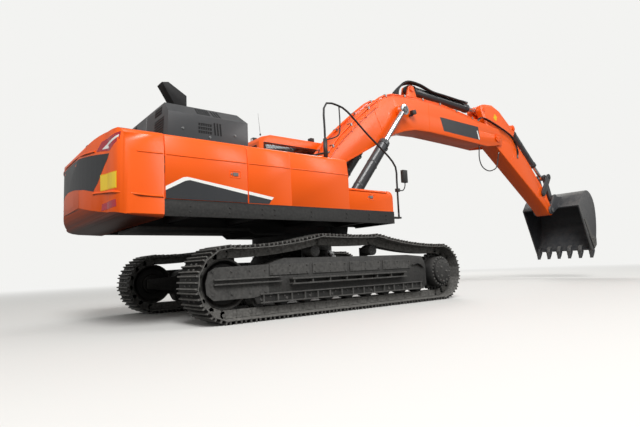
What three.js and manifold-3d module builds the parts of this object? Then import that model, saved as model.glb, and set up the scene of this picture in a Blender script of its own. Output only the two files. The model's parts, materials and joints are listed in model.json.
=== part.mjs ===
// Crawler excavator, 45-tonne class, with a backhoe front.
// Millimetres. +X forward (towards the bucket), +Y left (cab side), +Z up.
// The model is laid out around the swing centre on the ground, then moved so that its origin
// is the middle of its footprint.
import * as THREE from 'three';
import { mergeVertices } from 'three/addons/utils/BufferGeometryUtils.js';
import Module from 'manifold-3d';

const wasm = await Module();
wasm.setup();

// ---------------------------------------------------------------- driving dimensions
const SEAT = 0.4;                  // gap between pieces that rest on each other
const RUN = 6;                     // side gap beside an eye or a moving plate
const PIN_GAP = 0.4;               // radial gap of a pin in its eye
const DOOR_GAP = 10;               // gap round a door or lid

// undercarriage
const TRACK_LENGTH = 5260;         // over the shoes, front to rear
const TRACK_GAUGE = 2740;          // between the track centre lines
const SHOE_WIDTH = 600;
const SHOE_PITCH = 216;
const END_RADIUS = 500;            // of the loop round the end wheels, at the grouser tips
const GROUSER = 30;
const SHOE_PLATE = 25;
const LINK_HEIGHT = 110;
const LINK_WIDTH = 200;
const CARRIER_X = [-640, 560];     // carrier rollers
const CARRIER_TOP = 1164;          // top of the shoes over the carrier rollers
const LONG_SAG = 45;               // of the top run between a carrier roller and an end wheel
const SHORT_SAG = 12;              // of the top run between the carrier rollers
const BOTTOM_ROLLERS = 9;
const BOTTOM_ROLLER_R = 95;
const CARRIER_ROLLER_R = 85;
const ROLLER_SHAFT_R = 42;
const FRAME_WIDTH = 340;           // of one track frame
const FRAME_BOTTOM = 300;
const FRAME_TOP = 815;
const FRAME_HALF_LENGTH = 1780;
const HUB_R = 270;                 // final drive case
const CAR_BODY_BOTTOM = 450;
const CAR_BODY_TOP = 960;
const BEARING_R = 690;
const BEARING_BORE = 540;
const BEARING_TOP = 1105;
const TAIL_FLOOR = 1290;           // underside of the revolving frame's rear end
const FRAME_FLOOR = 1215;          // underside of the revolving frame outside the bearing
const STEP_REAR = -1200;           // the underside steps down between these
const STEP_FRONT = -1100;

// boom and boom cylinders, side by side between the decks
const BOOM_WIDTH = 540;
const BOOM_CYL_R = 105;
const CYL_SIDE = 25;               // clear space on both sides of a boom cylinder's barrel
const BOOM_CYL_Y = BOOM_WIDTH / 2 + CYL_SIDE + BOOM_CYL_R;
const EYE_WIDTH = 110;

// upper structure
const UPPER_HALF_WIDTH = 1495;
const SKIRT_BOTTOM = 1360;
const DECK_TOP = 1565;
const DECK_PLATE = 40;
const PANEL_TOP = 2390;
const CREASE = 2125;               // above this line the sides lean inwards
const PANEL_LEAN = 28;             // by this much at the top
const PANEL_THICK = 45;
const PANEL_BEVEL = 55;            // rounded top edge of the side panels
const TAIL_RADIUS = 3700;
const CW_FRONT = -2925;            // counterweight front face
const CW_BOTTOM = 1340;
const CW_TOP = 2400;
const DOOR_FRONT = -1775;          // front edge of the pump door
const TANK_SEAM = -1050;           // hydraulic tank to fuel tank
const TANK_FRONT = 75;             // front of the fuel tank
const TANK_INNER = 640;            // inner side of the tanks
const TOOLBOX_FRONT = 1085;
const TOOLBOX_TOP = 1915;
const TOOLBOX_WALL = 30;
const SKIRT_FRONT = 1100;          // front edge of the right deck
const DECK_INNER = BOOM_CYL_Y + BOOM_CYL_R + CYL_SIDE;   // inner edge of both side decks
const HOUSE_FRONT = -1420;         // bulkhead in front of the engine
const HOOD_REAR = -2700;
const HOOD_FRONT = -1440;
const HOOD_HALF = 950;
const HOOD_SPLIT = -50;            // between the lid and the fixed half
const HOOD_TOP = 3040;
const HOOD_BEVEL = 160;
const SKIN = 40;                   // sheet and frame of the house and hood
const HINGE_PIN_R = 8;             // of a door, hood or lid
const HINGE_DEEP = 40;             // how far a door's pivot pin reaches into the door
const HINGE_INSET = 20;            // hinge line from the door's edge
const HINGE_FACE = 12;             // hinge line behind the door's outer face
const LID_THICK = 34;
const EXHAUST_X = -2045;
const EXHAUST_Y = 250;
const EXHAUST_R = 75;
const RAIL_R = 17;
const RAIL_Y = -1330;
const RAIL_FOOT = 1400;            // x of the rail's front post

// cab
const CAB_REAR = -350;
const CAB_FRONT = 1600;
const CAB_INNER = DECK_INNER + 5;  // side towards the boom
const CAB_OUTER = 1480;
const CAB_ROOF = 3270;
const CAB_WALL = 60;
const CAB_FLOOR = 80;
const WAIST = 2350;                // where the windscreen starts to lean back
const SCREEN_LEAN = 115;
const GLASS = 8;
const CAB_DOOR_REAR = 420;
const CAB_DOOR_FRONT = 1500;
const CAB_DOOR_BOTTOM = 1660;
const CAB_DOOR_TOP = 3120;

// front equipment
const MAIN_PLATE_IN = 300;         // inner face of the main plates that carry the boom
const MAIN_PLATE = 40;
const BOOM_FOOT = [220, 2150];     // x, z of the boom foot pin
const BOOM_ANGLE = 15.6;           // of the boom's chord above level, as parked
const BOOM_LENGTH = 6730;          // foot pin to arm pin
const BOOM_TOP = [[625, 490], [1038, 779], [1724, 1117], [2458, 1425], [2640, 1468], [2900, 1475],
  [3637, 1351], [4529, 1110], [5268, 833], [6072, 515]];
const BOOM_BELLY = [[6150, -150], [5410, 77], [4805, 256], [3884, 525], [3368, 640], [3005, 655],
  [2690, 639], [1783, 437], [1087, 288]];
const FORK_R = 700;                // clear space round the arm pin inside the boom's fork
const BOOM_CYL_FOOT = [790, 1550]; // x, z of its foot pin
const BOOM_CYL_PIN = [2965, 1100]; // of its rod pin, in the boom's frame
const BOOM_ROD_R = 57;
const BOOM_BARREL = 2120;          // foot pin to gland face
const ARM_CYL_PIN = [3802, 1607];  // of the arm cylinder's pin, in the boom's frame
const ARM_CYL_R = 105;
const ARM_ROD_R = 60;
const ARM_BARREL = 2300;
const ARM_FOLD = 49.9;             // of the arm below the boom's chord, as parked
const ARM_LENGTH = 3317;           // arm pin to bucket pin
const ARM_WIDTH = 418;
const ARM_BACK = [[3200, 170], [3080, 210], [2850, 330], [2250, 420], [1600, 530], [1000, 585], [740, 665],
  [560, 770], [490, 840], [-200, 840], [-560, 730], [-830, 505]];
const ARM_EAR = [-780, 340];       // arm cylinder's rod pin, in the arm's frame
const BUCKET_CYL_PIN = [700, 1060];  // its base pin, in the arm's frame
const BUCKET_CYL_R = 85;
const BUCKET_ROD_R = 48;
const BUCKET_BARREL = 1540;
const ROCKER_PIN = [2720, 200];
const LINK_PIN = [2760, 860];      // push link on the rocker, in the arm's frame
const BUCKET_LINK_R = 480;         // bucket pin to push link pin
const BUCKET_LINK_ANGLE = 88;      // of that line above the arm's centre line, as parked
const BUCKET_ANGLE = -20.3;        // of the bucket's tip line above the arm's centre line, as parked
const BUCKET_REACH = 1830;         // bucket pin to tooth tip
const BUCKET_WIDTH = 1760;
const BUCKET_SHELL = 36;
const BUCKET_BACK = [[140, 370], [60, 720], [70, 1070], [200, 1255], [420, 1345], [700, 1320],
  [1000, 1150], [1250, 930], [1460, 690], [1610, 450], [1690, 220]];
const TEETH = 6;
const LINK_EYE_R = 95;
const PLATE = 44;                  // rockers, ears and brackets
const LINK_STUB_R = 40;
const FOOT_PIN_R = 62;             // boom foot
const CYL_PIN_R = 50;              // boom and arm cylinders
const SMALL_PIN_R = 42;            // bucket cylinder
const ARM_PIN_R = 60;
const BUCKET_PIN_R = 55;
const ROCKER_PIN_R = 45;

// colours
const ORANGE = 0xff5f14;
const BLACK = 0x1b1c1e;
const CHARCOAL = 0x4a4c50;
const STEEL = 0x3c3d3f;
const CHROME = 0xd8dadc;
const GLASS_TINT = 0x27343a;
const CLOTH = 0x2a2c30;

const rad = THREE.MathUtils.degToRad;

// ---------------------------------------------------------------- solids
// A closed three.js geometry as a solid that can be joined and cut.
function solid(geometry) {
  const bare = geometry.clone();
  bare.deleteAttribute('normal');
  bare.deleteAttribute('uv');
  const merged = mergeVertices(bare, 1e-3);
  const mesh = new wasm.Mesh({
    numProp: 3,
    vertProperties: new Float32Array(merged.attributes.position.array),
    triVerts: new Uint32Array(merged.index.array),
  });
  return new wasm.Manifold(mesh);
}

function toGeometry(body) {
  const mesh = body.getMesh();
  const geometry = new THREE.BufferGeometry();
  geometry.setAttribute('position', new THREE.BufferAttribute(new Float32Array(mesh.vertProperties), 3));
  geometry.setIndex(new THREE.BufferAttribute(new Uint32Array(mesh.triVerts), 1));
  geometry.computeVertexNormals();
  return geometry;
}

function join(...bodies) {
  return bodies.flat().reduce((whole, next) => whole.add(next));
}

function cut(body, ...tools) {
  return tools.flat().reduce((rest, tool) => rest.subtract(tool), body);
}

function box(x0, x1, y0, y1, z0, z1) {
  const geometry = new THREE.BoxGeometry(x1 - x0, y1 - y0, z1 - z0);
  geometry.translate((x0 + x1) / 2, (y0 + y1) / 2, (z0 + z1) / 2);
  return solid(geometry);
}

function flat(points) {
  return new THREE.Shape(points.map(([a, b]) => new THREE.Vector2(a, b)));
}

// An outline given as [x, z] points, between y0 and y1.
function sidePlate(outline, y0, y1) {
  const shape = Array.isArray(outline) ? flat(outline) : outline;
  const geometry = new THREE.ExtrudeGeometry(shape, { depth: y1 - y0, bevelEnabled: false,
    curveSegments: 9 });
  geometry.rotateX(Math.PI / 2);
  geometry.translate(0, y1, 0);
  return solid(geometry);
}

// An outline given as [x, y] points, between z0 and z1.
function planPlate(outline, z0, z1) {
  const shape = Array.isArray(outline) ? flat(outline) : outline;
  const geometry = new THREE.ExtrudeGeometry(shape, { depth: z1 - z0, bevelEnabled: false,
    curveSegments: 10 });
  geometry.translate(0, 0, z0);
  return solid(geometry);
}

// An outline given as [y, z] points, between x0 and x1.
function crossPlate(outline, x0, x1) {
  const geometry = new THREE.ExtrudeGeometry(flat(outline), { depth: x1 - x0, bevelEnabled: false });
  geometry.rotateY(Math.PI / 2);
  geometry.rotateX(Math.PI / 2);
  geometry.translate(x0, 0, 0);
  return solid(geometry);
}

// A round bar along Y.
function barY(r, [x, z], y0, y1, sides = 24) {
  const geometry = new THREE.CylinderGeometry(r, r, y1 - y0, sides);
  geometry.translate(x, (y0 + y1) / 2, z);
  return solid(geometry);
}

// A round bar along Z.
function barZ(r, x, y, z0, z1, sides = 16) {
  const geometry = new THREE.CylinderGeometry(r, r, z1 - z0, sides);
  geometry.rotateX(Math.PI / 2);
  geometry.translate(x, y, (z0 + z1) / 2);
  return solid(geometry);
}

// A round bar along X.
function barX(r, y, z, x0, x1, sides = 24) {
  const geometry = new THREE.CylinderGeometry(r, r, x1 - x0, sides);
  geometry.rotateZ(-Math.PI / 2);
  geometry.translate((x0 + x1) / 2, y, z);
  return solid(geometry);
}

// The radius of a faceted hole whose flats clear a pin of radius r.
function boreFor(r, sides = 24) {
  return (r + PIN_GAP) / Math.cos(Math.PI / sides);
}

// A round tube along a path of points [x, y, z].
function tubeAlong(points, r, steps = 40, sides = 10) {
  const path = new THREE.CatmullRomCurve3(points.map((p) => new THREE.Vector3(...p)), false, 'centripetal');
  const section = new THREE.Shape();
  section.absarc(0, 0, r, 0, Math.PI * 2);
  return solid(new THREE.ExtrudeGeometry(section, {
    steps, curveSegments: sides / 2, extrudePath: path, bevelEnabled: false,
  }));
}

// Two round ends joined by straight tangents: a link or lug between pins a and b.
function lug(a, ra, b, rb, y0, y1) {
  const dx = b[0] - a[0];
  const dz = b[1] - a[1];
  const length = Math.hypot(dx, dz);
  const heading = Math.atan2(dz, dx);
  const spread = Math.acos((ra - rb) / length);
  const shape = new THREE.Shape();
  shape.absarc(a[0], a[1], ra, heading + spread, heading - spread, false);
  shape.absarc(b[0], b[1], rb, heading - spread, heading + spread, false);
  return sidePlate(shape, y0, y1);
}

function onBothSides(make) {
  return [make(1), make(-1)];
}

// y0 and y1 of a stretch that lies between near and far from the centre, on the given side.
function span(side, near, far) {
  return side > 0 ? [near, far] : [-far, -near];
}

const machine = new THREE.Group();

function add(name, body, colour, { roughness = 0.5, metalness = 0.1, into = machine } = {}) {
  const material = new THREE.MeshStandardMaterial({ color: colour, roughness, metalness });
  const mesh = new THREE.Mesh(toGeometry(body), material);
  mesh.name = name;
  into.add(mesh);
  return mesh;
}

// ---------------------------------------------------------------- undercarriage
const END_X = TRACK_LENGTH / 2 - END_RADIUS;
const LINK_TOP = GROUSER + SHOE_PLATE + LINK_HEIGHT;   // from the grouser tips to the roller path

// Height of the grouser tips along the top run.
function topRun(x) {
  const stops = [[-END_X, 2 * END_RADIUS, LONG_SAG], [CARRIER_X[0], CARRIER_TOP, SHORT_SAG],
    [CARRIER_X[1], CARRIER_TOP, LONG_SAG], [END_X, 2 * END_RADIUS, 0]];
  const i = x < stops[1][0] ? 0 : x < stops[2][0] ? 1 : 2;
  const [xa, za, sag] = stops[i];
  const [xb, zb] = stops[i + 1];
  const t = (x - xa) / (xb - xa);
  return za + (zb - za) * t - 4 * sag * t * (1 - t);
}

// The track loop, a given depth inside the grouser tips, counter-clockwise from the bottom rear.
// The arcs are drawn outside their circle, so that a wheel of that radius fits inside.
function trackLoop(depth, arcSteps, runStep) {
  const points = [];
  const r = (END_RADIUS - depth) / Math.cos(Math.PI / (2 * arcSteps));
  const arc = (x, from) => {
    for (let i = 0; i < arcSteps; i += 1) {
      const a = from + Math.PI * (i + 0.5) / arcSteps;
      points.push([x + r * Math.cos(a), END_RADIUS + r * Math.sin(a)]);
    }
  };
  arc(END_X, -Math.PI / 2);
  const stops = [END_X, CARRIER_X[1], CARRIER_X[0], -END_X];
  points.push([END_X, topRun(END_X) - depth]);
  for (let k = 0; k < 3; k += 1) {
    const steps = Math.max(2, Math.round((stops[k] - stops[k + 1]) / runStep));
    for (let i = 1; i <= steps; i += 1) {
      const x = stops[k] + (stops[k + 1] - stops[k]) * i / steps;
      points.push([x, topRun(x) - depth]);
    }
  }
  arc(-END_X, Math.PI / 2);
  return points;
}

// Grouser outline: a flat-topped block for each shoe, with a notch between shoes.
function shoeOutline() {
  const fine = trackLoop(0, 24, 70);
  fine.push(fine[0]);
  const lengths = [0];
  for (let i = 1; i < fine.length; i += 1) {
    lengths.push(lengths[i - 1] + Math.hypot(fine[i][0] - fine[i - 1][0], fine[i][1] - fine[i - 1][1]));
  }
  const total = lengths[lengths.length - 1];
  const shoes = Math.round(total / SHOE_PITCH);
  const at = (distance) => {
    const d = distance % total;
    let i = 1;
    while (lengths[i] < d) i += 1;
    const t = (d - lengths[i - 1]) / (lengths[i] - lengths[i - 1]);
    const [ax, az] = fine[i - 1];
    const [bx, bz] = fine[i];
    const run = Math.hypot(bx - ax, bz - az);
    return { x: ax + (bx - ax) * t, z: az + (bz - az) * t, nx: -(bz - az) / run, nz: (bx - ax) / run };
  };
  const outline = [];
  for (let i = 0; i < shoes; i += 1) {
    for (const [share, deep] of [[0.02, GROUSER * 0.8], [0.07, 0], [0.93, 0], [0.98, GROUSER * 0.8]]) {
      const p = at((i + share) * total / shoes);
      outline.push([p.x + p.nx * deep, p.z + p.nz * deep]);
    }
  }
  return outline;
}

function makeTrack(side) {
  const centre = side * TRACK_GAUGE / 2;
  const shoeShape = flat(shoeOutline());
  shoeShape.holes.push(new THREE.Path(flat(trackLoop(GROUSER + SHOE_PLATE, 12, 260)).getPoints()));
  const shoes = sidePlate(shoeShape, centre - SHOE_WIDTH / 2, centre + SHOE_WIDTH / 2);
  const chainShape = flat(trackLoop(GROUSER + SHOE_PLATE / 2, 12, 260));
  chainShape.holes.push(new THREE.Path(flat(trackLoop(LINK_TOP, 12, 260)).getPoints()));
  const chain = sidePlate(chainShape, centre - LINK_WIDTH / 2, centre + LINK_WIDTH / 2);
  return join(shoes, chain);
}

function makeTrackFrame(side) {
  const centre = side * TRACK_GAUGE / 2;
  const half = FRAME_WIDTH / 2;
  const wheelZ = END_RADIUS;
  const beam = sidePlate([[-FRAME_HALF_LENGTH, FRAME_BOTTOM], [FRAME_HALF_LENGTH, FRAME_BOTTOM],
    [FRAME_HALF_LENGTH, 640], [FRAME_HALF_LENGTH - 90, FRAME_TOP - 30], [1300, FRAME_TOP],
    [-1250, FRAME_TOP], [-FRAME_HALF_LENGTH + 120, 690], [-FRAME_HALF_LENGTH, 590]], centre - half,
      centre + half);
  const parts = [beam];
  // guard plates that hang beside the bottom rollers
  for (const y of [centre - half, centre + half - 30]) {
    parts.push(sidePlate([[-1700, 215], [1700, 215], [1760, FRAME_BOTTOM + 40], [-1760, FRAME_BOTTOM + 40]],
      y, y + 30));
  }
  for (let i = 0; i < BOTTOM_ROLLERS; i += 1) {
    const x = -1640 + 3280 * i / (BOTTOM_ROLLERS - 1);
    const z = LINK_TOP + SEAT + BOTTOM_ROLLER_R;
    parts.push(barY(BOTTOM_ROLLER_R, [x, z], centre - LINK_WIDTH / 2, centre + LINK_WIDTH / 2, 14));
    parts.push(barY(ROLLER_SHAFT_R, [x, z], centre - half + 10, centre + half - 10, 6));
  }
  for (const x of CARRIER_X) {
    const z = CARRIER_TOP - LINK_TOP - SEAT - CARRIER_ROLLER_R - 3;
    parts.push(barY(CARRIER_ROLLER_R, [x, z], centre - LINK_WIDTH / 2, centre + LINK_WIDTH / 2, 16));
    const [y0, y1] = side > 0 ? [centre - 160, centre - 105] : [centre + 105, centre + 160];
    parts.push(box(x - 70, x + 70, y0, y1, FRAME_TOP - 30, z + 50));
    parts.push(barY(ROLLER_SHAFT_R, [x, z], Math.min(y0, centre), Math.max(y1, centre), 12));
  }
  // yoke plates beside the idler, with the hub blocks' slots filled
  for (const y of [centre - half, centre + half - 45]) {
    parts.push(sidePlate([[-END_X - 110, wheelZ - 75], [-END_X - 110, wheelZ + 75],
      [-FRAME_HALF_LENGTH + 20, wheelZ + 110],
      [-FRAME_HALF_LENGTH + 20, wheelZ - 150]], y, y + 45));
  }
  // motor mounting plate on the inner side of the sprocket
  const [m0, m1] = side > 0 ? [centre - half, centre - half + 60] : [centre + half - 60, centre + half];
  parts.push(lug([FRAME_HALF_LENGTH - 200, 470], 165, [END_X, wheelZ], HUB_R - 20, m0, m1));
  return join(parts);
}

function makeSprocket(side) {
  const centre = side * TRACK_GAUGE / 2;
  const wheelR = END_RADIUS - LINK_TOP - SEAT;
  const teeth = 21;
  const outline = [];
  for (let i = 0; i < teeth; i += 1) {
    for (const [share, r] of [[0.1, wheelR], [0.4, wheelR], [0.6, wheelR - 42], [0.9, wheelR - 42]]) {
      const a = 2 * Math.PI * (i + share) / teeth;
      outline.push([END_X + r * Math.cos(a), END_RADIUS + r * Math.sin(a)]);
    }
  }
  const wheel = sidePlate(outline, centre - 45, centre + 45);
  const inner = centre - side * (FRAME_WIDTH / 2 - 60 - SEAT);
  const outer = centre + side * 245;
  const far = outer + side * 40;
  const hub = barY(HUB_R, [END_X, END_RADIUS], Math.min(inner, outer), Math.max(inner, outer), 28);
  const cap = barY(HUB_R - 60, [END_X, END_RADIUS], Math.min(outer, far), Math.max(outer, far), 28);
  return join(wheel, hub, cap);
}

function makeIdler(side) {
  const centre = side * TRACK_GAUGE / 2;
  const r = END_RADIUS - LINK_TOP - SEAT;
  const half = LINK_WIDTH / 2 - 15;
  const profile = [[0, -half], [150, -half], [170, -45], [r - 70, -45], [r - 30, -half], [r, -half],
    [r, half], [r - 30, half], [r - 70, 45], [170, 45], [150, half], [0, half]];
  const geometry = new THREE.LatheGeometry(profile.map(([a, b]) => new THREE.Vector2(a, b)), 28);
  geometry.translate(-END_X, centre, END_RADIUS);
  const inside = FRAME_WIDTH / 2 - 45 - SEAT;
  return join(solid(geometry), barY(70, [-END_X, END_RADIUS], centre - inside, centre + inside, 20));
}

function makeCarBody() {
  const face = TRACK_GAUGE / 2 - FRAME_WIDTH / 2 - SEAT;
  const quarter = [[620, 0], [660, 430], [1250, face], [640, face], [330, 760]];
  const outline = [
    ...quarter,
    ...quarter.slice().reverse().map(([x, y]) => [-x, y]),
    ...quarter.slice(1).map(([x, y]) => [-x, -y]),
    ...quarter.slice(1).reverse().map(([x, y]) => [x, -y]),
  ];
  const cross = planPlate(outline, CAR_BODY_BOTTOM, FRAME_TOP - 20);
  const tower = new THREE.CylinderGeometry(BEARING_R, BEARING_R + 130, CAR_BODY_TOP - FRAME_TOP + 60, 28);
  tower.rotateX(Math.PI / 2);
  tower.translate(0, 0, (CAR_BODY_TOP + FRAME_TOP - 60) / 2);
  const well = barZ(BEARING_BORE - 40, 0, 0, CAR_BODY_TOP - 120, CAR_BODY_TOP + 10, 24);
  return cut(join(cross, solid(tower)), well);
}

function makeSwingBearing() {
  const outer = barZ(BEARING_R, 0, 0, CAR_BODY_TOP + SEAT, BEARING_TOP, 28);
  return cut(outer, barZ(BEARING_BORE, 0, 0, CAR_BODY_TOP - 10, BEARING_TOP + 10, 24));
}

for (const [side, word] of [[1, 'left'], [-1, 'right']]) {
  add(`track_${word}`, makeTrack(side), STEEL, { roughness: 0.75, metalness: 0.5 });
  add(`track_frame_${word}`, makeTrackFrame(side), BLACK, { roughness: 0.6 });
  add(`sprocket_${word}`, makeSprocket(side), BLACK, { roughness: 0.6, metalness: 0.4 });
  add(`idler_${word}`, makeIdler(side), STEEL, { roughness: 0.6, metalness: 0.5 });
}
add('car_body', makeCarBody(), BLACK, { roughness: 0.6 });
add('swing_bearing', makeSwingBearing(), STEEL, { roughness: 0.5, metalness: 0.6 });

// ---------------------------------------------------------------- revolving frame
const PANEL_OUT = UPPER_HALF_WIDTH;
const HINGE_Y = PANEL_OUT - HINGE_FACE;
const REAR_DOOR_EDGE = CW_FRONT + DOOR_GAP;
const PUMP_HINGE_X = REAR_DOOR_EDGE + HINGE_INSET;
const RADIATOR_FRONT = -1265;
const BATTERY_REAR = RADIATOR_FRONT + DOOR_GAP;
const BATTERY_FRONT = CAB_REAR - 15;
const BATTERY_HINGE_X = BATTERY_REAR + HINGE_INSET;
const EYE_IN = BOOM_CYL_Y - EYE_WIDTH / 2;
const EYE_OUT = BOOM_CYL_Y + EYE_WIDTH / 2;
const PLATE_OUT = MAIN_PLATE_IN + MAIN_PLATE;

function makeRevolvingFrame() {
  const bottom = BEARING_TOP + SEAT;
  const rear = CW_FRONT + SEAT;
  const [fx, fz] = BOOM_FOOT;
  const [gx, gz] = BOOM_CYL_FOOT;
  const parts = [];
  parts.push(barZ(BEARING_R + 60, 0, 0, bottom, FRAME_FLOOR + 20, 28));
  parts.push(planPlate([[STEP_FRONT, -480], [gx + 80, -560], [gx + 80, 560], [STEP_FRONT, 480]],
    FRAME_FLOOR, FRAME_FLOOR + DECK_PLATE));
  parts.push(sidePlate([[rear, TAIL_FLOOR], [STEP_REAR, TAIL_FLOOR], [STEP_FRONT, FRAME_FLOOR],
    [STEP_FRONT + 20, FRAME_FLOOR + 35], [STEP_REAR + 10, TAIL_FLOOR + DECK_PLATE],
    [rear, TAIL_FLOOR + DECK_PLATE]], -480, 480));
  for (const side of [1, -1]) {
    const [p0, p1] = span(side, MAIN_PLATE_IN, PLATE_OUT);
    parts.push(sidePlate([[rear, TAIL_FLOOR], [STEP_REAR, TAIL_FLOOR], [STEP_FRONT, FRAME_FLOOR],
      [gx + 80, FRAME_FLOOR], [gx + 130, gz - 120], [gx + 60, gz + 20],
      [560, DECK_TOP + 60], [fx + 175, fz - 40], [fx + 90, fz + 150], [fx - 90, fz + 150], [fx - 185,
        fz - 60],
      [-700, DECK_TOP + 30], [-1300, DECK_TOP - 10], [rear, DECK_TOP - 10]], p0, p1));
    parts.push(barY(185, BOOM_FOOT, p0, p1, 24));
    parts.push(barY(130, BOOM_CYL_FOOT, p0, p1, 20));
    // outer lug of the boom cylinder's foot
    const [q0, q1] = span(side, EYE_OUT + RUN, EYE_OUT + RUN + MAIN_PLATE);
    parts.push(sidePlate([[500, FRAME_FLOOR + 10], [gx + 80, FRAME_FLOOR + 10], [gx + 125, gz - 100],
      [gx - 60, gz + 60], [520, gz - 40]], q0, q1));
    parts.push(barY(130, BOOM_CYL_FOOT, q0, q1, 20));
    const [c0, c1] = span(side, MAIN_PLATE_IN, EYE_OUT + RUN + MAIN_PLATE + 12);
    parts.push(barY(CYL_PIN_R, BOOM_CYL_FOOT, c0, c1, 16));
    // side deck, its skirt and its brackets
    const front = side > 0 ? CAB_FRONT + 20 : SKIRT_FRONT;
    const [d0, d1] = span(side, DECK_INNER, PANEL_OUT);
    parts.push(box(rear, front, d0, d1, DECK_TOP - DECK_PLATE, DECK_TOP));
    const [s0, s1] = span(side, PANEL_OUT - 50, PANEL_OUT);
    parts.push(box(rear, front, s0, s1, SKIRT_BOTTOM, DECK_TOP - 5));
    const [i0, i1] = span(side, DECK_INNER, DECK_INNER + 40);
    parts.push(box(-300, front, i0, i1, SKIRT_BOTTOM + 20, DECK_TOP - 5));
    parts.push(box(front - 50, front, d0, d1, SKIRT_BOTTOM, DECK_TOP - 5));
    for (const x of [-2500, -1500, -420]) {
      const [b0, b1] = span(side, MAIN_PLATE_IN + 5, PANEL_OUT - 5);
      parts.push(box(x, x + 80, b0, b1, SKIRT_BOTTOM + 20, DECK_TOP - 10));
    }
    const [g0, g1] = span(side, EYE_OUT + RUN + 5, PANEL_OUT - 5);
    parts.push(box(540, 620, g0, g1, SKIRT_BOTTOM + 20, DECK_TOP - 10));
  }
  // deck over the middle, behind the boom foot
  parts.push(box(rear, -480, -DECK_INNER - 5, DECK_INNER + 5, DECK_TOP - DECK_PLATE, DECK_TOP));
  // boom foot pin
  parts.push(barY(FOOT_PIN_R, BOOM_FOOT, -PLATE_OUT - 25, PLATE_OUT + 25, 16));
  // pivot pins of the doors
  for (const [x, y] of [[PUMP_HINGE_X, -HINGE_Y], [PUMP_HINGE_X, HINGE_Y], [BATTERY_HINGE_X, HINGE_Y]]) {
    parts.push(barZ(HINGE_PIN_R, x, y, DECK_TOP - 20, DECK_TOP + HINGE_DEEP, 12));
  }
  return join(parts);
}
add('revolving_frame', makeRevolvingFrame(), BLACK, { roughness: 0.6 });

// ---------------------------------------------------------------- counterweight
// The outer edge of the left side as [y, z], from the crease to the rounded top.
function leaningEdge(top, bevel) {
  const edge = PANEL_OUT - PANEL_LEAN;
  return [[PANEL_OUT, CREASE], [edge, top - bevel], [edge - bevel * 0.35, top - bevel * 0.35],
    [edge - bevel, top]];
}

function makeCounterweight() {
  const plan = new THREE.Shape();
  const cornerX = 190;
  const cornerY = 300;
  const edgeX = -Math.sqrt(TAIL_RADIUS ** 2 - (PANEL_OUT - cornerY) ** 2);
  const tail = Math.atan2(PANEL_OUT - cornerY, edgeX);
  plan.moveTo(CW_FRONT, PANEL_OUT);
  plan.lineTo(edgeX + cornerX, PANEL_OUT);
  plan.quadraticCurveTo(edgeX + 25, PANEL_OUT, edgeX, PANEL_OUT - cornerY);
  plan.absarc(0, 0, TAIL_RADIUS, tail, 2 * Math.PI - tail, false);
  plan.quadraticCurveTo(edgeX + 25, -PANEL_OUT, edgeX + cornerX, -PANEL_OUT);
  plan.lineTo(CW_FRONT, -PANEL_OUT);
  const block = planPlate(plan, CW_BOTTOM, CW_TOP);
  // seen from the side: raised at the heel, full at mid height, rolled over at the top
  const rear = -TAIL_RADIUS;
  const profile = new THREE.Shape();
  profile.moveTo(CW_FRONT, CW_BOTTOM);
  profile.lineTo(rear + 420, CW_BOTTOM + 15);
  profile.quadraticCurveTo(rear + 40, CW_BOTTOM + 70, rear, CW_BOTTOM + 290);
  profile.quadraticCurveTo(rear - 5, CW_BOTTOM + 700, rear + 30, CW_TOP - 210);
  profile.quadraticCurveTo(rear + 60, CW_TOP - 10, rear + 260, CW_TOP);
  profile.lineTo(CW_FRONT, CW_TOP);
  const rounded = block.intersect(sidePlate(profile, -PANEL_OUT - 10, PANEL_OUT + 10));
  const half = [[PANEL_OUT - 60, CW_BOTTOM - 5], [PANEL_OUT, CW_BOTTOM + 40], ...leaningEdge(CW_TOP + 1,
    PANEL_BEVEL)];
  const section = crossPlate([...half, ...half.map(([y, z]) => [-y, z]).reverse()], rear - 50, CW_FRONT + 50);
  return rounded.intersect(section);
}
add('counterweight', makeCounterweight(), ORANGE, { roughness: 0.4 });

// ---------------------------------------------------------------- side panels, tanks, toolbox
const BASE = DECK_TOP + SEAT;

// An outline drawn for the left side, on either side.
function sideSection(side, outline, x0, x1) {
  return crossPlate(side > 0 ? outline : outline.map(([y, z]) => [-y, z]).reverse(), x0, x1);
}

function makeTank(side, x0, x1) {
  const outline = [[TANK_INNER, BASE], [PANEL_OUT, BASE], ...leaningEdge(PANEL_TOP, PANEL_BEVEL),
    [TANK_INNER, PANEL_TOP]];
  return sideSection(side, outline, x0, x1);
}

function makeDoor(side, x0, x1, hingeX) {
  const inner = PANEL_OUT - PANEL_THICK;
  const foot = DECK_TOP + 6;
  const outline = [[inner, foot], [PANEL_OUT, foot], ...leaningEdge(PANEL_TOP, PANEL_THICK), [inner, CREASE]];
  const skin = sideSection(side, outline, x0, x1);
  return cut(skin, barZ(boreFor(HINGE_PIN_R, 12), hingeX, side * HINGE_Y, DECK_TOP,
    DECK_TOP + HINGE_DEEP + 5, 12));
}

add('pump_door', makeDoor(-1, REAR_DOOR_EDGE, DOOR_FRONT, PUMP_HINGE_X), ORANGE, { roughness: 0.4 });
add('radiator_door', makeDoor(1, REAR_DOOR_EDGE, RADIATOR_FRONT, PUMP_HINGE_X), ORANGE, { roughness: 0.4 });
add('battery_door', makeDoor(1, BATTERY_REAR, BATTERY_FRONT, BATTERY_HINGE_X), ORANGE, { roughness: 0.4 });
add('hydraulic_tank', makeTank(-1, DOOR_FRONT + DOOR_GAP, TANK_SEAM - SEAT), ORANGE, { roughness: 0.4 });
add('fuel_tank', makeTank(-1, TANK_SEAM, TANK_FRONT), ORANGE, { roughness: 0.4 });

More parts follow.
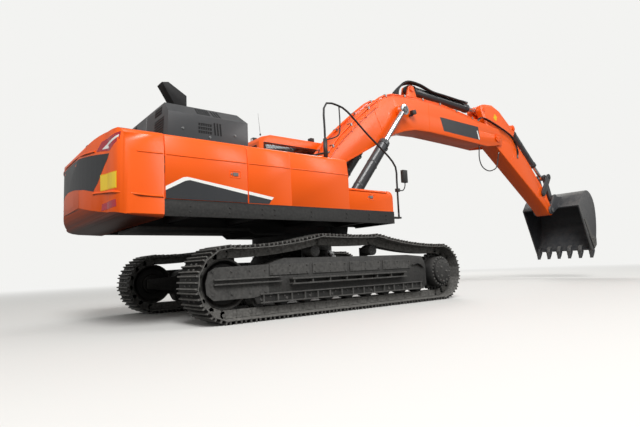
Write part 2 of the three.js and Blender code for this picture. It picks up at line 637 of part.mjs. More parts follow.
const TOOLBOX_REAR = TANK_FRONT + SEAT;
const LID_FRONT = TOOLBOX_FRONT - 150;
const LID_HINGE_Z = TOOLBOX_TOP - LID_THICK / 2;
const LID_HINGE_Y = -TANK_INNER - 22;

function toolboxOutline(inset) {
  const r = 110;
  const shape = new THREE.Shape();
  shape.moveTo(TOOLBOX_REAR + inset, BASE + inset);
  shape.lineTo(TOOLBOX_FRONT - inset, BASE + inset);
  shape.lineTo(TOOLBOX_FRONT - inset, TOOLBOX_TOP - r);
  shape.absarc(TOOLBOX_FRONT - r, TOOLBOX_TOP - r, r - inset, 0, Math.PI / 2, false);
  shape.lineTo(TOOLBOX_REAR + inset, TOOLBOX_TOP - inset);
  return shape;
}

function makeToolbox() {
  const outer = sidePlate(toolboxOutline(0), -PANEL_OUT, -TANK_INNER);
  const inner = sidePlate(toolboxOutline(TOOLBOX_WALL), -PANEL_OUT + TOOLBOX_WALL,
    -TANK_INNER - TOOLBOX_WALL);
  const top = box(TOOLBOX_REAR - 5, LID_FRONT + DOOR_GAP, -PANEL_OUT - 5, -TANK_INNER + 5,
    TOOLBOX_TOP - LID_THICK - 12, TOOLBOX_TOP + 5);
  const pin = barX(HINGE_PIN_R, LID_HINGE_Y, LID_HINGE_Z, LID_FRONT - 10, LID_FRONT + 30, 12);
  return join(cut(outer, inner, top), pin);
}

function makeToolboxLid() {
  const x0 = TOOLBOX_REAR + DOOR_GAP;
  const x1 = LID_FRONT;
  const lid = box(x0, x1, -PANEL_OUT, -TANK_INNER - 5, TOOLBOX_TOP - LID_THICK, TOOLBOX_TOP);
  const edge = box(x0 - 1, x1 + 1, -PANEL_OUT - 1, -PANEL_OUT + 14, TOOLBOX_TOP - 14, TOOLBOX_TOP + 1);
  return cut(lid, edge, barX(boreFor(HINGE_PIN_R, 12), LID_HINGE_Y, LID_HINGE_Z, x1 - 30, x1 + 5, 12));
}
add('toolbox', makeToolbox(), ORANGE, { roughness: 0.4 });
add('toolbox_lid', makeToolboxLid(), ORANGE, { roughness: 0.4 });

// ---------------------------------------------------------------- machinery house and hood
const ROOF = PANEL_TOP - SKIN;
const HOUSE_EDGE = PANEL_OUT - PANEL_THICK - PANEL_LEAN - DOOR_GAP - 2;
const CAB_BULKHEAD = CAB_REAR - 15;

// The hood is a shell with bevelled long edges, cut in two along its length.
// Each half gets a wall at the cut, between y0 and y1 of the wall.
function hoodHalf(y0, y1, wall) {
  const foot = PANEL_TOP - 60;
  const section = (t) => {
    const h = HOOD_HALF - t;
    const edge = h - HOOD_BEVEL + t * 0.4;
    return [[-h, foot], [h, foot], [h, HOOD_TOP - HOOD_BEVEL], [edge, HOOD_TOP - t], [-edge, HOOD_TOP - t],
      [-h, HOOD_TOP - HOOD_BEVEL]];
  };
  const long = (t) => sidePlate([[HOOD_REAR + t, foot], [HOOD_FRONT - t, foot], [HOOD_FRONT - t,
    HOOD_TOP - 150],
    [HOOD_FRONT - 95, HOOD_TOP - t], [HOOD_REAR + 40 + t, HOOD_TOP - t]], -HOOD_HALF - 5, HOOD_HALF + 5);
  const slice = (a, b) => box(HOOD_REAR - 5, HOOD_FRONT + 5, a, b, foot - 10, HOOD_TOP + 5);
  const outer = crossPlate(section(0), HOOD_REAR, HOOD_FRONT).intersect(long(0));
  const inner = crossPlate(section(SKIN), HOOD_REAR + SKIN, HOOD_FRONT - SKIN).intersect(long(SKIN));
  return join(cut(outer, inner).intersect(slice(y0, y1)), outer.intersect(slice(...wall)));
}

const HOOD_HINGE = [HOOD_REAR + 25, PANEL_TOP + 38];

function makeHouse() {
  const roof = planPlate([[REAR_DOOR_EDGE, -HOUSE_EDGE], [DOOR_FRONT, -HOUSE_EDGE], [DOOR_FRONT,
    -TANK_INNER + DOOR_GAP],
    [HOUSE_FRONT + SKIN, -TANK_INNER + DOOR_GAP], [HOUSE_FRONT + SKIN, DECK_INNER], [CAB_BULKHEAD,
      DECK_INNER],
    [CAB_BULKHEAD, HOUSE_EDGE], [REAR_DOOR_EDGE, HOUSE_EDGE]], ROOF, PANEL_TOP);
  const opening = box(HOOD_REAR + SKIN, HOOD_FRONT - SKIN, -HOOD_HALF + SKIN, HOOD_HALF - SKIN, ROOF - 5,
    PANEL_TOP + 5);
  const bulkhead = box(HOUSE_FRONT, HOUSE_FRONT + SKIN, -TANK_INNER + DOOR_GAP, HOUSE_EDGE, BASE, ROOF + 5);
  const inner = box(HOUSE_FRONT, CAB_BULKHEAD, DECK_INNER - SKIN, DECK_INNER, BASE, PANEL_TOP);
  const rearWall = box(CAB_BULKHEAD - SKIN, CAB_BULKHEAD, DECK_INNER - 5, HOUSE_EDGE, BASE, ROOF + 5);
  const pillars = [[RADIATOR_FRONT - 30, HOUSE_EDGE - 60, HOUSE_EDGE], [REAR_DOOR_EDGE, HOUSE_EDGE - 60,
    HOUSE_EDGE],
    [REAR_DOOR_EDGE, -HOUSE_EDGE, -HOUSE_EDGE + 60], [DOOR_FRONT - 60, -HOUSE_EDGE, -HOUSE_EDGE + 60]]
    .map(([x, y0, y1]) => box(x, x + 60, y0, y1, BASE, ROOF + 5));
  const wall = HOOD_SPLIT + DOOR_GAP / 2;
  const fixed = cut(hoodHalf(wall, HOOD_HALF + 5, [wall, wall + SKIN]),
    box(HOOD_REAR - 5, HOOD_FRONT + 5, HOOD_SPLIT, HOOD_HALF + 5, PANEL_TOP - 80, ROOF + 10));
  const pin = barY(HINGE_PIN_R, HOOD_HINGE, wall - 40, wall + 25, 12);
  return join(cut(join(roof, bulkhead, inner, rearWall, ...pillars), opening), fixed, pin);
}

function makeHoodLid() {
  const wall = HOOD_SPLIT - DOOR_GAP / 2;
  const lid = hoodHalf(-HOOD_HALF - 5, wall, [wall - SKIN, wall]);
  const below = box(HOOD_REAR - 5, HOOD_FRONT + 5, -HOOD_HALF - 5, HOOD_SPLIT, PANEL_TOP - 80, PANEL_TOP + 6);
  const heel = box(HOOD_REAR - 5, HOOD_REAR + SKIN + 5, -HOOD_HALF - 5, HOOD_SPLIT, PANEL_TOP - 80,
    PANEL_TOP + 18);
  return cut(lid, below, heel, barY(boreFor(HINGE_PIN_R, 12), HOOD_HINGE, HOOD_SPLIT - 39, HOOD_SPLIT + 5,
    12));
}

add('machinery_house', makeHouse(), CHARCOAL, { roughness: 0.5 });
add('engine_hood', makeHoodLid(), CHARCOAL, { roughness: 0.5 });
add('engine_block', box(-2450, -1700, -550, 700, BASE, ROOF - 30), STEEL, { roughness: 0.7 });

// The cover behind the boom foot stands over the ends of the main plates.
function makeCentreCover() {
  const block = box(HOUSE_FRONT + SKIN + SEAT, -490, -TANK_INNER + SEAT, DECK_INNER - SKIN - SEAT, BASE,
    2050);
  return cut(block, onBothSides((side) => {
    const [y0, y1] = span(side, MAIN_PLATE_IN - 5, PLATE_OUT + 5);
    return box(-1300, -485, y0, y1, BASE - 5, 1745);
  }));
}
add('centre_cover', makeCentreCover(), BLACK);

function makeExhaust() {
  const base = HOOD_TOP + SEAT;
  const pipe = barZ(EXHAUST_R, EXHAUST_X, EXHAUST_Y, base, base + 420, 20);
  const flange = barZ(120, EXHAUST_X, EXHAUST_Y, base, base + 20, 20);
  const mouth = sidePlate([[-2140, base + 320], [-1950, base + 320], [-1950, base + 526], [-2254, base + 705],
    [-2362, base + 682], [-2304, base + 592]], EXHAUST_Y - 110, EXHAUST_Y + 110);
  return join(pipe, flange, mouth);
}
add('exhaust_stack', makeExhaust(), BLACK, { roughness: 0.7 });

function makeRearCamera() {
  const post = barZ(14, -3380, 200, CW_TOP + SEAT, CW_TOP + 70, 10);
  return join(post, box(-3440, -3320, 140, 260, CW_TOP + 60, CW_TOP + 150));
}
add('rear_camera', makeRearCamera(), BLACK);

// ---------------------------------------------------------------- handrail and mirrors
function makeHandrail() {
  const rail = tubeAlong([[-240, RAIL_Y, PANEL_TOP + SEAT + 20], [-240, RAIL_Y, 2900], [-235, RAIL_Y, 3240],
    [-170, RAIL_Y, 3330],
    [60, RAIL_Y, 3332], [220, RAIL_Y, 3290], [700, RAIL_Y, 2945], [1320, RAIL_Y, 2505], [RAIL_FOOT, RAIL_Y,
      2380],
    [RAIL_FOOT, RAIL_Y, 2200], [RAIL_FOOT, RAIL_Y, 1700], [RAIL_FOOT, RAIL_Y, 1480]], RAIL_R, 32, 8);
  const post = barZ(34, -240, RAIL_Y, PANEL_TOP + SEAT, PANEL_TOP + 330, 16);
  const second = tubeAlong([[90, RAIL_Y, 3330], [92, RAIL_Y, 3000], [60, RAIL_Y, 2830], [-60, RAIL_Y, 2760],
    [-240, RAIL_Y, 2700]], 11, 12, 6);
  const foot = box(SKIRT_FRONT + SEAT, RAIL_FOOT + 25, RAIL_Y - 40, RAIL_Y + 40, 1470, 1500);
  return join(rail, post, second, foot);
}
add('handrail_right', makeHandrail(), BLACK);

function makeRightMirror() {
  const x = RAIL_FOOT + 25;
  const clamp = cut(box(RAIL_FOOT - 30, x + 15, RAIL_Y - 32, RAIL_Y + 32, 1960, 2020),
    barZ((RAIL_R + SEAT) / Math.cos(Math.PI / 16), RAIL_FOOT, RAIL_Y, 1950, 2030, 16));
  const bracket = tubeAlong([[x + 10, RAIL_Y, 1990], [x + 90, RAIL_Y - 30, 1990], [x + 122, RAIL_Y - 55,
    2060], [x + 125, RAIL_Y - 55, 2200]], 10, 14, 6);
  const glass = box(x + 60, x + 180, RAIL_Y - 85, RAIL_Y - 25, 2130, 2360);
  return join(clamp, bracket, glass);
}
add('mirror_right', makeRightMirror(), BLACK);

// ---------------------------------------------------------------- cab
const LEAN_TOP = 3130;

// Distance of the windscreen's outer face at a height, behind the cab's front.
function screenX(z) {
  return z < WAIST ? CAB_FRONT : CAB_FRONT - SCREEN_LEAN * (z - WAIST) / (LEAN_TOP - WAIST);
}

function cabOutline(t) {
  return [[CAB_REAR + t, BASE + (t ? CAB_FLOOR : 0)], [CAB_FRONT - t, BASE + (t ? CAB_FLOOR : 0)],
    [CAB_FRONT - t, WAIST],
    [screenX(LEAN_TOP) - t, LEAN_TOP], [screenX(LEAN_TOP) - 90 - t * 0.6, CAB_ROOF - 35 - t * 0.8], [1150,
      CAB_ROOF - t],
    [CAB_REAR + 260, CAB_ROOF - t], [CAB_REAR + 60 + t * 0.7, CAB_ROOF - 60 - t * 0.6], [CAB_REAR + t,
      CAB_ROOF - 150 - t * 0.3]];
}

// Window openings as [x0, x1, z0, z1] or, across the cab, [y0, y1, z0, z1].
const RIGHT_WINDOW = [-220, 1380, 2120, 3090];
const LEFT_WINDOW = [-230, CAB_DOOR_REAR - 70, 2250, 3090];
const REAR_WINDOW = [CAB_INNER + 110, CAB_OUTER - 110, 2430, 3040];
const SCREEN = [CAB_INNER + 80, CAB_OUTER - 80, 1720, 3090];
const DOOR_WINDOW = [CAB_DOOR_REAR + 90, CAB_DOOR_FRONT - 100, 2020, 3030];
const CAB_HINGE = [CAB_DOOR_REAR - 15, CAB_OUTER + 22];
const CAB_HINGES_Z = [1850, 2850];
const KNUCKLE = 60;                // height of a hinge knuckle

function makeCabShell() {
  const outer = sidePlate(cabOutline(0), CAB_INNER, CAB_OUTER);
  const inner = sidePlate(cabOutline(CAB_WALL), CAB_INNER + CAB_WALL, CAB_OUTER - CAB_WALL);
  const openings = [
    box(RIGHT_WINDOW[0], RIGHT_WINDOW[1], CAB_INNER - 5, CAB_INNER + CAB_WALL + 5, RIGHT_WINDOW[2],
      RIGHT_WINDOW[3]),
    box(LEFT_WINDOW[0], LEFT_WINDOW[1], CAB_OUTER - CAB_WALL - 5, CAB_OUTER + 5, LEFT_WINDOW[2],
      LEFT_WINDOW[3]),
    box(CAB_REAR - 5, CAB_REAR + CAB_WALL + 40, REAR_WINDOW[0], REAR_WINDOW[1], REAR_WINDOW[2],
      REAR_WINDOW[3]),
    box(CAB_FRONT - 260, CAB_FRONT + 5, SCREEN[0], SCREEN[1], SCREEN[2], SCREEN[3]),
    box(CAB_DOOR_REAR - DOOR_GAP, CAB_DOOR_FRONT + DOOR_GAP, CAB_OUTER - CAB_WALL - 5, CAB_OUTER + 5,
      CAB_DOOR_BOTTOM - 6, CAB_DOOR_TOP + 6),
  ];
  const [hx, hy] = CAB_HINGE;
  const pins = CAB_HINGES_Z.flatMap((z) => [
    barZ(HINGE_PIN_R, hx, hy, z - 10, z + KNUCKLE, 12),
    box(hx - 55, hx + 3, CAB_OUTER - 10, CAB_OUTER + 36, z - 40, z),
  ]);
  return join(cut(outer, inner, openings), ...pins);
}

function makeCabDoor() {
  const thick = CAB_WALL - 6;
  const slab = box(CAB_DOOR_REAR, CAB_DOOR_FRONT, CAB_OUTER - thick, CAB_OUTER, CAB_DOOR_BOTTOM,
    CAB_DOOR_TOP);
  const shape = sidePlate([[CAB_DOOR_REAR, CAB_DOOR_BOTTOM], [CAB_DOOR_FRONT, CAB_DOOR_BOTTOM],
    [CAB_DOOR_FRONT, WAIST],
    [CAB_DOOR_FRONT - 80, CAB_DOOR_TOP], [CAB_DOOR_REAR, CAB_DOOR_TOP]], CAB_OUTER - 200, CAB_OUTER + 5);
  const window = box(DOOR_WINDOW[0], DOOR_WINDOW[1], CAB_OUTER - 200, CAB_OUTER + 5, DOOR_WINDOW[2],
    DOOR_WINDOW[3]);
  const [hx, hy] = CAB_HINGE;
  const knuckles = CAB_HINGES_Z.flatMap((z) => [
    barZ(16, hx, hy, z + SEAT, z + KNUCKLE, 16),
    box(hx + 8, CAB_DOOR_REAR + 60, CAB_OUTER - 5, CAB_OUTER + 32, z + SEAT, z + KNUCKLE),
  ]);
  const holes = CAB_HINGES_Z.map((z) => barZ(boreFor(HINGE_PIN_R, 12), hx, hy, z - 5, z + KNUCKLE + 5, 12));
  return cut(join(cut(slab.intersect(shape), window), knuckles), holes);
}

function pane(window, y) {
  return box(window[0] + SEAT, window[1] - SEAT, y, y + GLASS, window[2] + SEAT, window[3] - SEAT);
}

function makeScreen() {
  const inset = 26;
  const outline = [[CAB_FRONT - inset - GLASS, SCREEN[2] + SEAT], [CAB_FRONT - inset, SCREEN[2] + SEAT],
    [CAB_FRONT - inset, WAIST],
    [screenX(SCREEN[3]) - inset, SCREEN[3] - SEAT], [screenX(SCREEN[3]) - inset - GLASS, SCREEN[3] - SEAT],
    [CAB_FRONT - inset - GLASS, WAIST]];
  return sidePlate(outline, SCREEN[0] + SEAT, SCREEN[1] - SEAT);
}

const GLAZING = { roughness: 0.08, metalness: 0 };
add('cab_shell', makeCabShell(), ORANGE, { roughness: 0.4 });
add('cab_door', makeCabDoor(), ORANGE, { roughness: 0.4 });
add('windscreen', makeScreen(), GLASS_TINT, GLAZING);
add('cab_glass_right', pane(RIGHT_WINDOW, CAB_INNER + 25), GLASS_TINT, GLAZING);
add('cab_glass_left', pane(LEFT_WINDOW, CAB_OUTER - 33), GLASS_TINT, GLAZING);
add('cab_glass_rear', box(CAB_REAR + 22, CAB_REAR + 22 + GLASS, REAR_WINDOW[0] + SEAT, REAR_WINDOW[1] - SEAT,
  REAR_WINDOW[2] + SEAT, REAR_WINDOW[3] - SEAT), GLASS_TINT, GLAZING);
add('door_glass', pane(DOOR_WINDOW, CAB_OUTER - 33), GLASS_TINT, GLAZING);

const CAB_MID = (CAB_INNER + CAB_OUTER) / 2;
const CAB_DECK = BASE + CAB_FLOOR;

function makeSeat() {
  const z = CAB_DECK + SEAT;
  const parts = [
    box(60, 560, CAB_MID - 200, CAB_MID + 200, z, z + 260),
    box(40, 620, CAB_MID - 260, CAB_MID + 260, z + 240, z + 420),
    sidePlate([[10, z + 300], [150, z + 300], [60, z + 1010], [-70, z + 1010]], CAB_MID - 250, CAB_MID + 250),
    sidePlate([[-60, z + 980], [50, z + 980], [30, z + 1180], [-80, z + 1180]], CAB_MID - 150, CAB_MID + 150),
    box(150, 620, CAB_MID - 375, CAB_MID - 255, z + 200, z + 560),
    box(150, 620, CAB_MID + 255, CAB_MID + 375, z + 200, z + 560),
    barZ(22, 560, CAB_MID - 315, z + 540, z + 760, 12),
    barZ(22, 560, CAB_MID + 315, z + 540, z + 760, 12),
  ];
  return join(parts);
}
add('operator_seat', makeSeat(), CLOTH, { roughness: 0.9, metalness: 0 });

function makeConsole() {
  const z = CAB_DECK + SEAT;
  const parts = [
    box(900, 1460, CAB_MID - 230, CAB_MID + 230, z, z + 40),
    box(1150, 1330, CAB_MID - 170, CAB_MID - 60, z + 30, z + 90),
    box(1150, 1330, CAB_MID + 60, CAB_MID + 170, z + 30, z + 90),
    barZ(14, 1290, CAB_MID - 60, z + 30, z + 620, 10),
    barZ(14, 1290, CAB_MID + 60, z + 30, z + 620, 10),
    box(1180, 1460, CAB_MID - 360, CAB_MID - 200, z, z + 760),
    box(1240, 1290, CAB_MID - 350, CAB_MID - 110, z + 740, z + 930),
  ];
  return join(parts);
}
add('control_console', makeConsole(), BLACK, { roughness: 0.7 });

function makeRoofLamp(x, y) {
  const foot = CAB_ROOF + SEAT;
  return join(box(x - 30, x + 30, y - 30, y + 30, foot, foot + 30), box(x - 45, x + 45, y - 55, y + 55,
    foot + 25, foot + 125));
}
add('work_lamp_front', makeRoofLamp(1050, CAB_INNER + 180), BLACK);
add('work_lamp_rear', makeRoofLamp(-20, CAB_OUTER - 200), BLACK);

function makeLeftMirror() {
  const foot = CAB_OUTER - 25;
  const x = CAB_FRONT - 30;
  return join(box(CAB_FRONT + SEAT, CAB_FRONT + 30, foot - 40, foot + 10, 2240, 2300),
    tubeAlong([[x + 45, foot - 15, 2270], [x + 150, foot + 60, 2270], [x + 170, foot + 90, 2400]], 10, 10, 6),
    box(x + 130, x + 185, foot, foot + 180, 2380, 2720));
}
add('mirror_left', makeLeftMirror(), BLACK);

// ---------------------------------------------------------------- front equipment
// The boom's frame: origin at the foot pin, +X along the chord to the arm pin.
const boomFrame = new THREE.Group();
boomFrame.position.set(BOOM_FOOT[0], 0, BOOM_FOOT[1]);
boomFrame.rotation.y = rad(-BOOM_ANGLE);
machine.add(boomFrame);

// The arm's frame: origin at the arm pin, +X along the centre line to the bucket pin.
const armFrame = new THREE.Group();
armFrame.position.set(BOOM_LENGTH, 0, 0);
armFrame.rotation.y = rad(ARM_FOLD);
boomFrame.add(armFrame);

// The bucket's frame: origin at the bucket pin, +X to the tooth tips.
const bucketFrame = new THREE.Group();
bucketFrame.position.set(ARM_LENGTH, 0, 0);
bucketFrame.rotation.y = rad(-BUCKET_ANGLE);
armFrame.add(bucketFrame);

// A point in the arm's frame, as seen from the boom's frame.
function armInBoom([x, z]) {
  const a = rad(-ARM_FOLD);
  return [BOOM_LENGTH + x * Math.cos(a) - z * Math.sin(a), x * Math.sin(a) + z * Math.cos(a)];
}

function turned([x, z], degrees) {
  const a = rad(degrees);
  return [x * Math.cos(a) - z * Math.sin(a), x * Math.sin(a) + z * Math.cos(a)];
}

const BOOM_HALF = BOOM_WIDTH / 2;
const ARM_HALF = ARM_WIDTH / 2;
const FORK_IN = ARM_HALF + RUN;

function makeBoom() {
  const shape = new THREE.Shape();
  shape.absarc(0, 0, 165, rad(220), rad(110), true);
  for (const [x, z] of BOOM_TOP) shape.lineTo(x, z);
  shape.absarc(BOOM_LENGTH, 0, 255, rad(75), rad(-60), true);
  for (const [x, z] of BOOM_BELLY) shape.lineTo(x, z);
  const parts = [
    sidePlate(shape, -BOOM_HALF, BOOM_HALF),
    barY(165, [0, 0], -MAIN_PLATE_IN + RUN, MAIN_PLATE_IN - RUN, 24),
    barY(130, BOOM_CYL_PIN, -EYE_IN + RUN, EYE_IN - RUN, 24),
  ];
  const bores = [
    barY(boreFor(FOOT_PIN_R, 16), [0, 0], -MAIN_PLATE_IN, MAIN_PLATE_IN, 16),
    barY(FORK_R, [BOOM_LENGTH, 0], -FORK_IN, FORK_IN, 32),
  ];
  const body = cut(join(parts), bores);
  const tip = barY(ARM_PIN_R, [BOOM_LENGTH, 0], -BOOM_HALF - 20, BOOM_HALF + 20, 16);
  const lugs = [1, -1].flatMap((side) => {
    const [y0, y1] = span(side, EYE_WIDTH / 2 + RUN, EYE_WIDTH / 2 + RUN + PLATE);
    return [sidePlate([[ARM_CYL_PIN[0] - 320, 1310], [ARM_CYL_PIN[0] - 100, ARM_CYL_PIN[1] + 40],
      [ARM_CYL_PIN[0] + 70, ARM_CYL_PIN[1] + 40], [ARM_CYL_PIN[0] + 105, ARM_CYL_PIN[1] - 60],
        [ARM_CYL_PIN[0] + 150, 1170]], y0, y1), barY(110, ARM_CYL_PIN, y0, y1, 20)];
  });
  const pinHalf = EYE_WIDTH / 2 + RUN + PLATE;
  return join(body, tip, ...lugs, barY(CYL_PIN_R, ARM_CYL_PIN, -pinHalf - 15, pinHalf + 15, 16));
}
add('boom', makeBoom(), ORANGE, { roughness: 0.4, into: boomFrame });

function makeBoomLamp() {
  const x = BOOM_CYL_PIN[0] + 330;
  const z = BOOM_CYL_PIN[1] - 90;
  const y = -BOOM_HALF - SEAT;
  return join(box(x - 40, x + 40, y - 60, y, z - 60, z - 20), box(x - 20, x + 100, y - 130, y - 40, z - 40,
    z + 60));
}
add('boom_lamp', makeBoomLamp(), BLACK, { into: boomFrame });

// A cylinder's barrel, along +X from its pin.
function makeBarrel({ r, rodR, barrel, pinR }) {
  const eyeR = r + 10;
  const body = join(
    barY(eyeR, [0, 0], -EYE_WIDTH / 2, EYE_WIDTH / 2, 24),
    box(0, 190, -EYE_WIDTH / 2 + 5, EYE_WIDTH / 2 - 5, -eyeR * 0.7, eyeR * 0.7),
    barX(r, 0, 0, 170, barrel - 90, 24),
    barX(r + 12, 0, 0, barrel - 100, barrel, 24),
  );
  const bore = barX(rodR + PIN_GAP, 0, 0, 260, barrel + 5, 20);
  return cut(body, bore, barY(boreFor(pinR, 16), [0, 0], -EYE_WIDTH, EYE_WIDTH, 16));
}

// Its rod, with the rod's pin a length away. The rod starts inside the barrel.
function makeRod({ rodR, eyeR, length, inside }) {
  return join(
    barX(rodR, 0, 0, inside, length - eyeR * 0.6, 20),
    barY(eyeR, [length, 0], -EYE_WIDTH / 2, EYE_WIDTH / 2, 24),
  );
}

// Places a cylinder's two pieces in a frame, from pin a to pin b.
function addCylinder(names, a, b, y, frame, size) {
  const length = Math.hypot(b[0] - a[0], b[1] - a[1]);
  const heading = Math.atan2(b[1] - a[1], b[0] - a[0]);
  const group = new THREE.Group();
  group.position.set(a[0], y, a[1]);
  group.rotation.y = -heading;
  frame.add(group);
  add(names[0], makeBarrel(size), STEEL, { roughness: 0.5, into: group });
  add(names[1], makeRod({ ...size, length }), CHROME, { roughness: 0.15, metalness: 1, into: group });
}

const rodPinWorld = turned(BOOM_CYL_PIN, BOOM_ANGLE).map((v, i) => v + BOOM_FOOT[i]);
for (const [side, word] of [[1, 'left'], [-1, 'right']]) {
  addCylinder([`boom_cylinder_${word}`, `boom_rod_${word}`], BOOM_CYL_FOOT, rodPinWorld, side * BOOM_CYL_Y,
    machine,
    { r: BOOM_CYL_R, rodR: BOOM_ROD_R, barrel: BOOM_BARREL, pinR: CYL_PIN_R, eyeR: 118, inside: 1180 });
}
addCylinder(['arm_cylinder', 'arm_rod'], ARM_CYL_PIN, armInBoom(ARM_EAR), 0, boomFrame,
  { r: ARM_CYL_R, rodR: ARM_ROD_R, barrel: ARM_BARREL, pinR: CYL_PIN_R, eyeR: 105, inside: 640 });
addCylinder(['bucket_cylinder', 'bucket_rod'], BUCKET_CYL_PIN, LINK_PIN, 0, armFrame,
  { r: BUCKET_CYL_R, rodR: BUCKET_ROD_R, barrel: BUCKET_BARREL, pinR: SMALL_PIN_R, eyeR: 85, inside: 600 });

function makeArm() {
  const shape = new THREE.Shape();
  shape.absarc(0, 0, 190, rad(235), rad(295), false);
  shape.lineTo(343, -165);
  shape.lineTo(ARM_LENGTH - 310, -112);
  shape.absarc(ARM_LENGTH, 0, 150, rad(-100), rad(105), false);
  for (const [x, z] of ARM_BACK) shape.lineTo(x, z);
  shape.absarc(ARM_EAR[0], ARM_EAR[1], 150, rad(110), rad(246), false);
  const pinHalf = EYE_WIDTH / 2 + RUN + PLATE;
  const lugs = [1, -1].flatMap((side) => {
    const [y0, y1] = span(side, EYE_WIDTH / 2 + RUN, EYE_WIDTH / 2 + RUN + PLATE);
    return [sidePlate([[300, 780], [560, 700], [820, 600], [BUCKET_CYL_PIN[0] + 95, BUCKET_CYL_PIN[1]],
      [BUCKET_CYL_PIN[0] - 80, BUCKET_CYL_PIN[1] + 55]], y0, y1), barY(100, BUCKET_CYL_PIN, y0, y1, 20)];
  });
  const bores = [
    barY(boreFor(ARM_PIN_R, 16), [0, 0], -ARM_HALF - 5, ARM_HALF + 5, 16),
    barY(boreFor(BUCKET_PIN_R), [ARM_LENGTH, 0], -ARM_HALF - 5, ARM_HALF + 5, 24),
    barY(boreFor(ROCKER_PIN_R), ROCKER_PIN, -ARM_HALF - 5, ARM_HALF + 5, 24),
    barY(330, ARM_EAR, -EYE_WIDTH / 2 - RUN, EYE_WIDTH / 2 + RUN, 24),
  ];
  const body = cut(sidePlate(shape, -ARM_HALF, ARM_HALF), bores);
  return join(body, ...lugs, barY(SMALL_PIN_R, BUCKET_CYL_PIN, -pinHalf - 12, pinHalf + 12, 16));
}
add('arm', makeArm(), ORANGE, { roughness: 0.4, into: armFrame });

const ROCKER_IN = ARM_HALF + RUN;
const LINK_IN = EYE_WIDTH / 2 + RUN + 12;
const LINK_OUT = LINK_IN + PLATE + 20;

function makeRocker() {
  const plates = [1, -1].flatMap((side) => {
    const [y0, y1] = span(side, ROCKER_IN, ROCKER_IN + PLATE);
    const [s0, s1] = span(side, LINK_IN, ROCKER_IN + 5);
    return [lug(ROCKER_PIN, 95, LINK_PIN, LINK_EYE_R, y0, y1), barY(LINK_STUB_R, LINK_PIN, s0, s1, 24)];
  });
  return join(...plates, barY(ROCKER_PIN_R, ROCKER_PIN, -ROCKER_IN - PLATE, ROCKER_IN + PLATE, 24));
}
add('bucket_rocker', makeRocker(), CHARCOAL, { into: armFrame });

const BUCKET_LINK_PIN = turned([BUCKET_LINK_R, 0], BUCKET_LINK_ANGLE);
const LINK_END = [ARM_LENGTH + BUCKET_LINK_PIN[0], BUCKET_LINK_PIN[1]];

function makePushLink() {
  const along = (t) => [LINK_PIN[0] + (LINK_END[0] - LINK_PIN[0]) * t,
    LINK_PIN[1] + (LINK_END[1] - LINK_PIN[1]) * t];
  const plates = [1, -1].map((side) => {
    const [y0, y1] = span(side, LINK_IN, LINK_OUT);
    return cut(lug(LINK_PIN, LINK_EYE_R - 5, LINK_END, 90, y0, y1), barY(boreFor(LINK_STUB_R), LINK_PIN,
      y0 - 5, y1 + 5, 24));
  });
  const web = lug(along(0.5), 60, along(0.8), 60, -LINK_IN - 5, LINK_IN + 5);
  const end = barY(90, LINK_END, -ARM_HALF, ARM_HALF, 24);
  return join(...plates, web, end);
}
add('push_link', makePushLink(), CHARCOAL, { into: armFrame });

// ---------------------------------------------------------------- bucket
// The back of the bucket as a smooth line, shrunk towards the inside by t.
function bucketBack(t) {
  const curve = new THREE.SplineCurve(BUCKET_BACK.map(([x, z]) => new THREE.Vector2(x, z)));
  const points = [];
  const steps = 22;
  for (let i = 0; i <= steps; i += 1) {
    const p = curve.getPoint(i / steps);
    const d = curve.getTangent(i / steps);
    points.push([p.x + d.y * t, p.y - d.x * t]);
  }
  return points;
}

function makeBucket() {
  const half = BUCKET_WIDTH / 2;
  const lip = [1610, 95];
  const outer = [...bucketBack(0), lip];
  const innerBack = bucketBack(BUCKET_SHELL);
  const inner = [...innerBack, [innerBack[innerBack.length - 1][0], -300], [innerBack[0][0] + 30, -300]];
  const body = cut(sidePlate(outer.slice().reverse(), -half, half), sidePlate(inner.slice().reverse(),
    -half + 40, half - 40));
  const parts = [body];
  const ear = (y0, y1) => {
    const shape = new THREE.Shape();
    const q = turned(BUCKET_LINK_PIN, -BUCKET_ANGLE);
    shape.absarc(0, 0, 125, rad(150), rad(-45), false);
    shape.lineTo(160, 340);
    shape.lineTo(85, 860);
    shape.absarc(q[0], q[1], 115, rad(80), rad(190), false);
    return sidePlate(shape, y0, y1);
  };
  const near = ARM_HALF + RUN;
  const far = near + PLATE + 6;
  parts.push(ear(near, far));
  parts.push(ear(-far, -near));
  parts.push(barY(BUCKET_PIN_R, [0, 0], -far - 19, far + 19, 24));
  // teeth, each on its adapter
  for (let i = 0; i < TEETH; i += 1) {
    const y = -half + 60 + (BUCKET_WIDTH - 120) * i / (TEETH - 1);
    const adapter = sidePlate([[1560, 330], [1560, 200], [BUCKET_REACH - 130, 60], [BUCKET_REACH - 30, 60],
      [1745, 240]], y - 55, y + 55);
    const tooth = sidePlate([[BUCKET_REACH - 210, 90], [BUCKET_REACH - 10, -10], [BUCKET_REACH + 5, 10],
      [BUCKET_REACH - 75, 190]], y - 42, y + 42);
    parts.push(adapter, tooth);
  }
  return join(parts);
}
add('bucket', makeBucket(), STEEL, { roughness: 0.6, metalness: 0.4, into: bucketFrame });

// ---------------------------------------------------------------- origin at the footprint's middle
machine.updateMatrixWorld(true);
const bounds = new THREE.Box3().setFromObject(machine, true);
const assembly = new THREE.Group();
machine.position.x = -(bounds.min.x + bounds.max.x) / 2;
assembly.add(machine);

export default assembly;
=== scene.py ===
# %% [markdown]
# # A crawler excavator, looked at closely
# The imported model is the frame: every solid has its real size and sits on the body that moves it.
# This script adds what makes it look real: paint, track shoes, hoses, bolts, glass and rubber.
# Sizes are written in millimetres round the swing centre, because that is how such a machine is
# drawn, and one matrix for each arm of the machine turns them into the frame's metres.

import json
import math

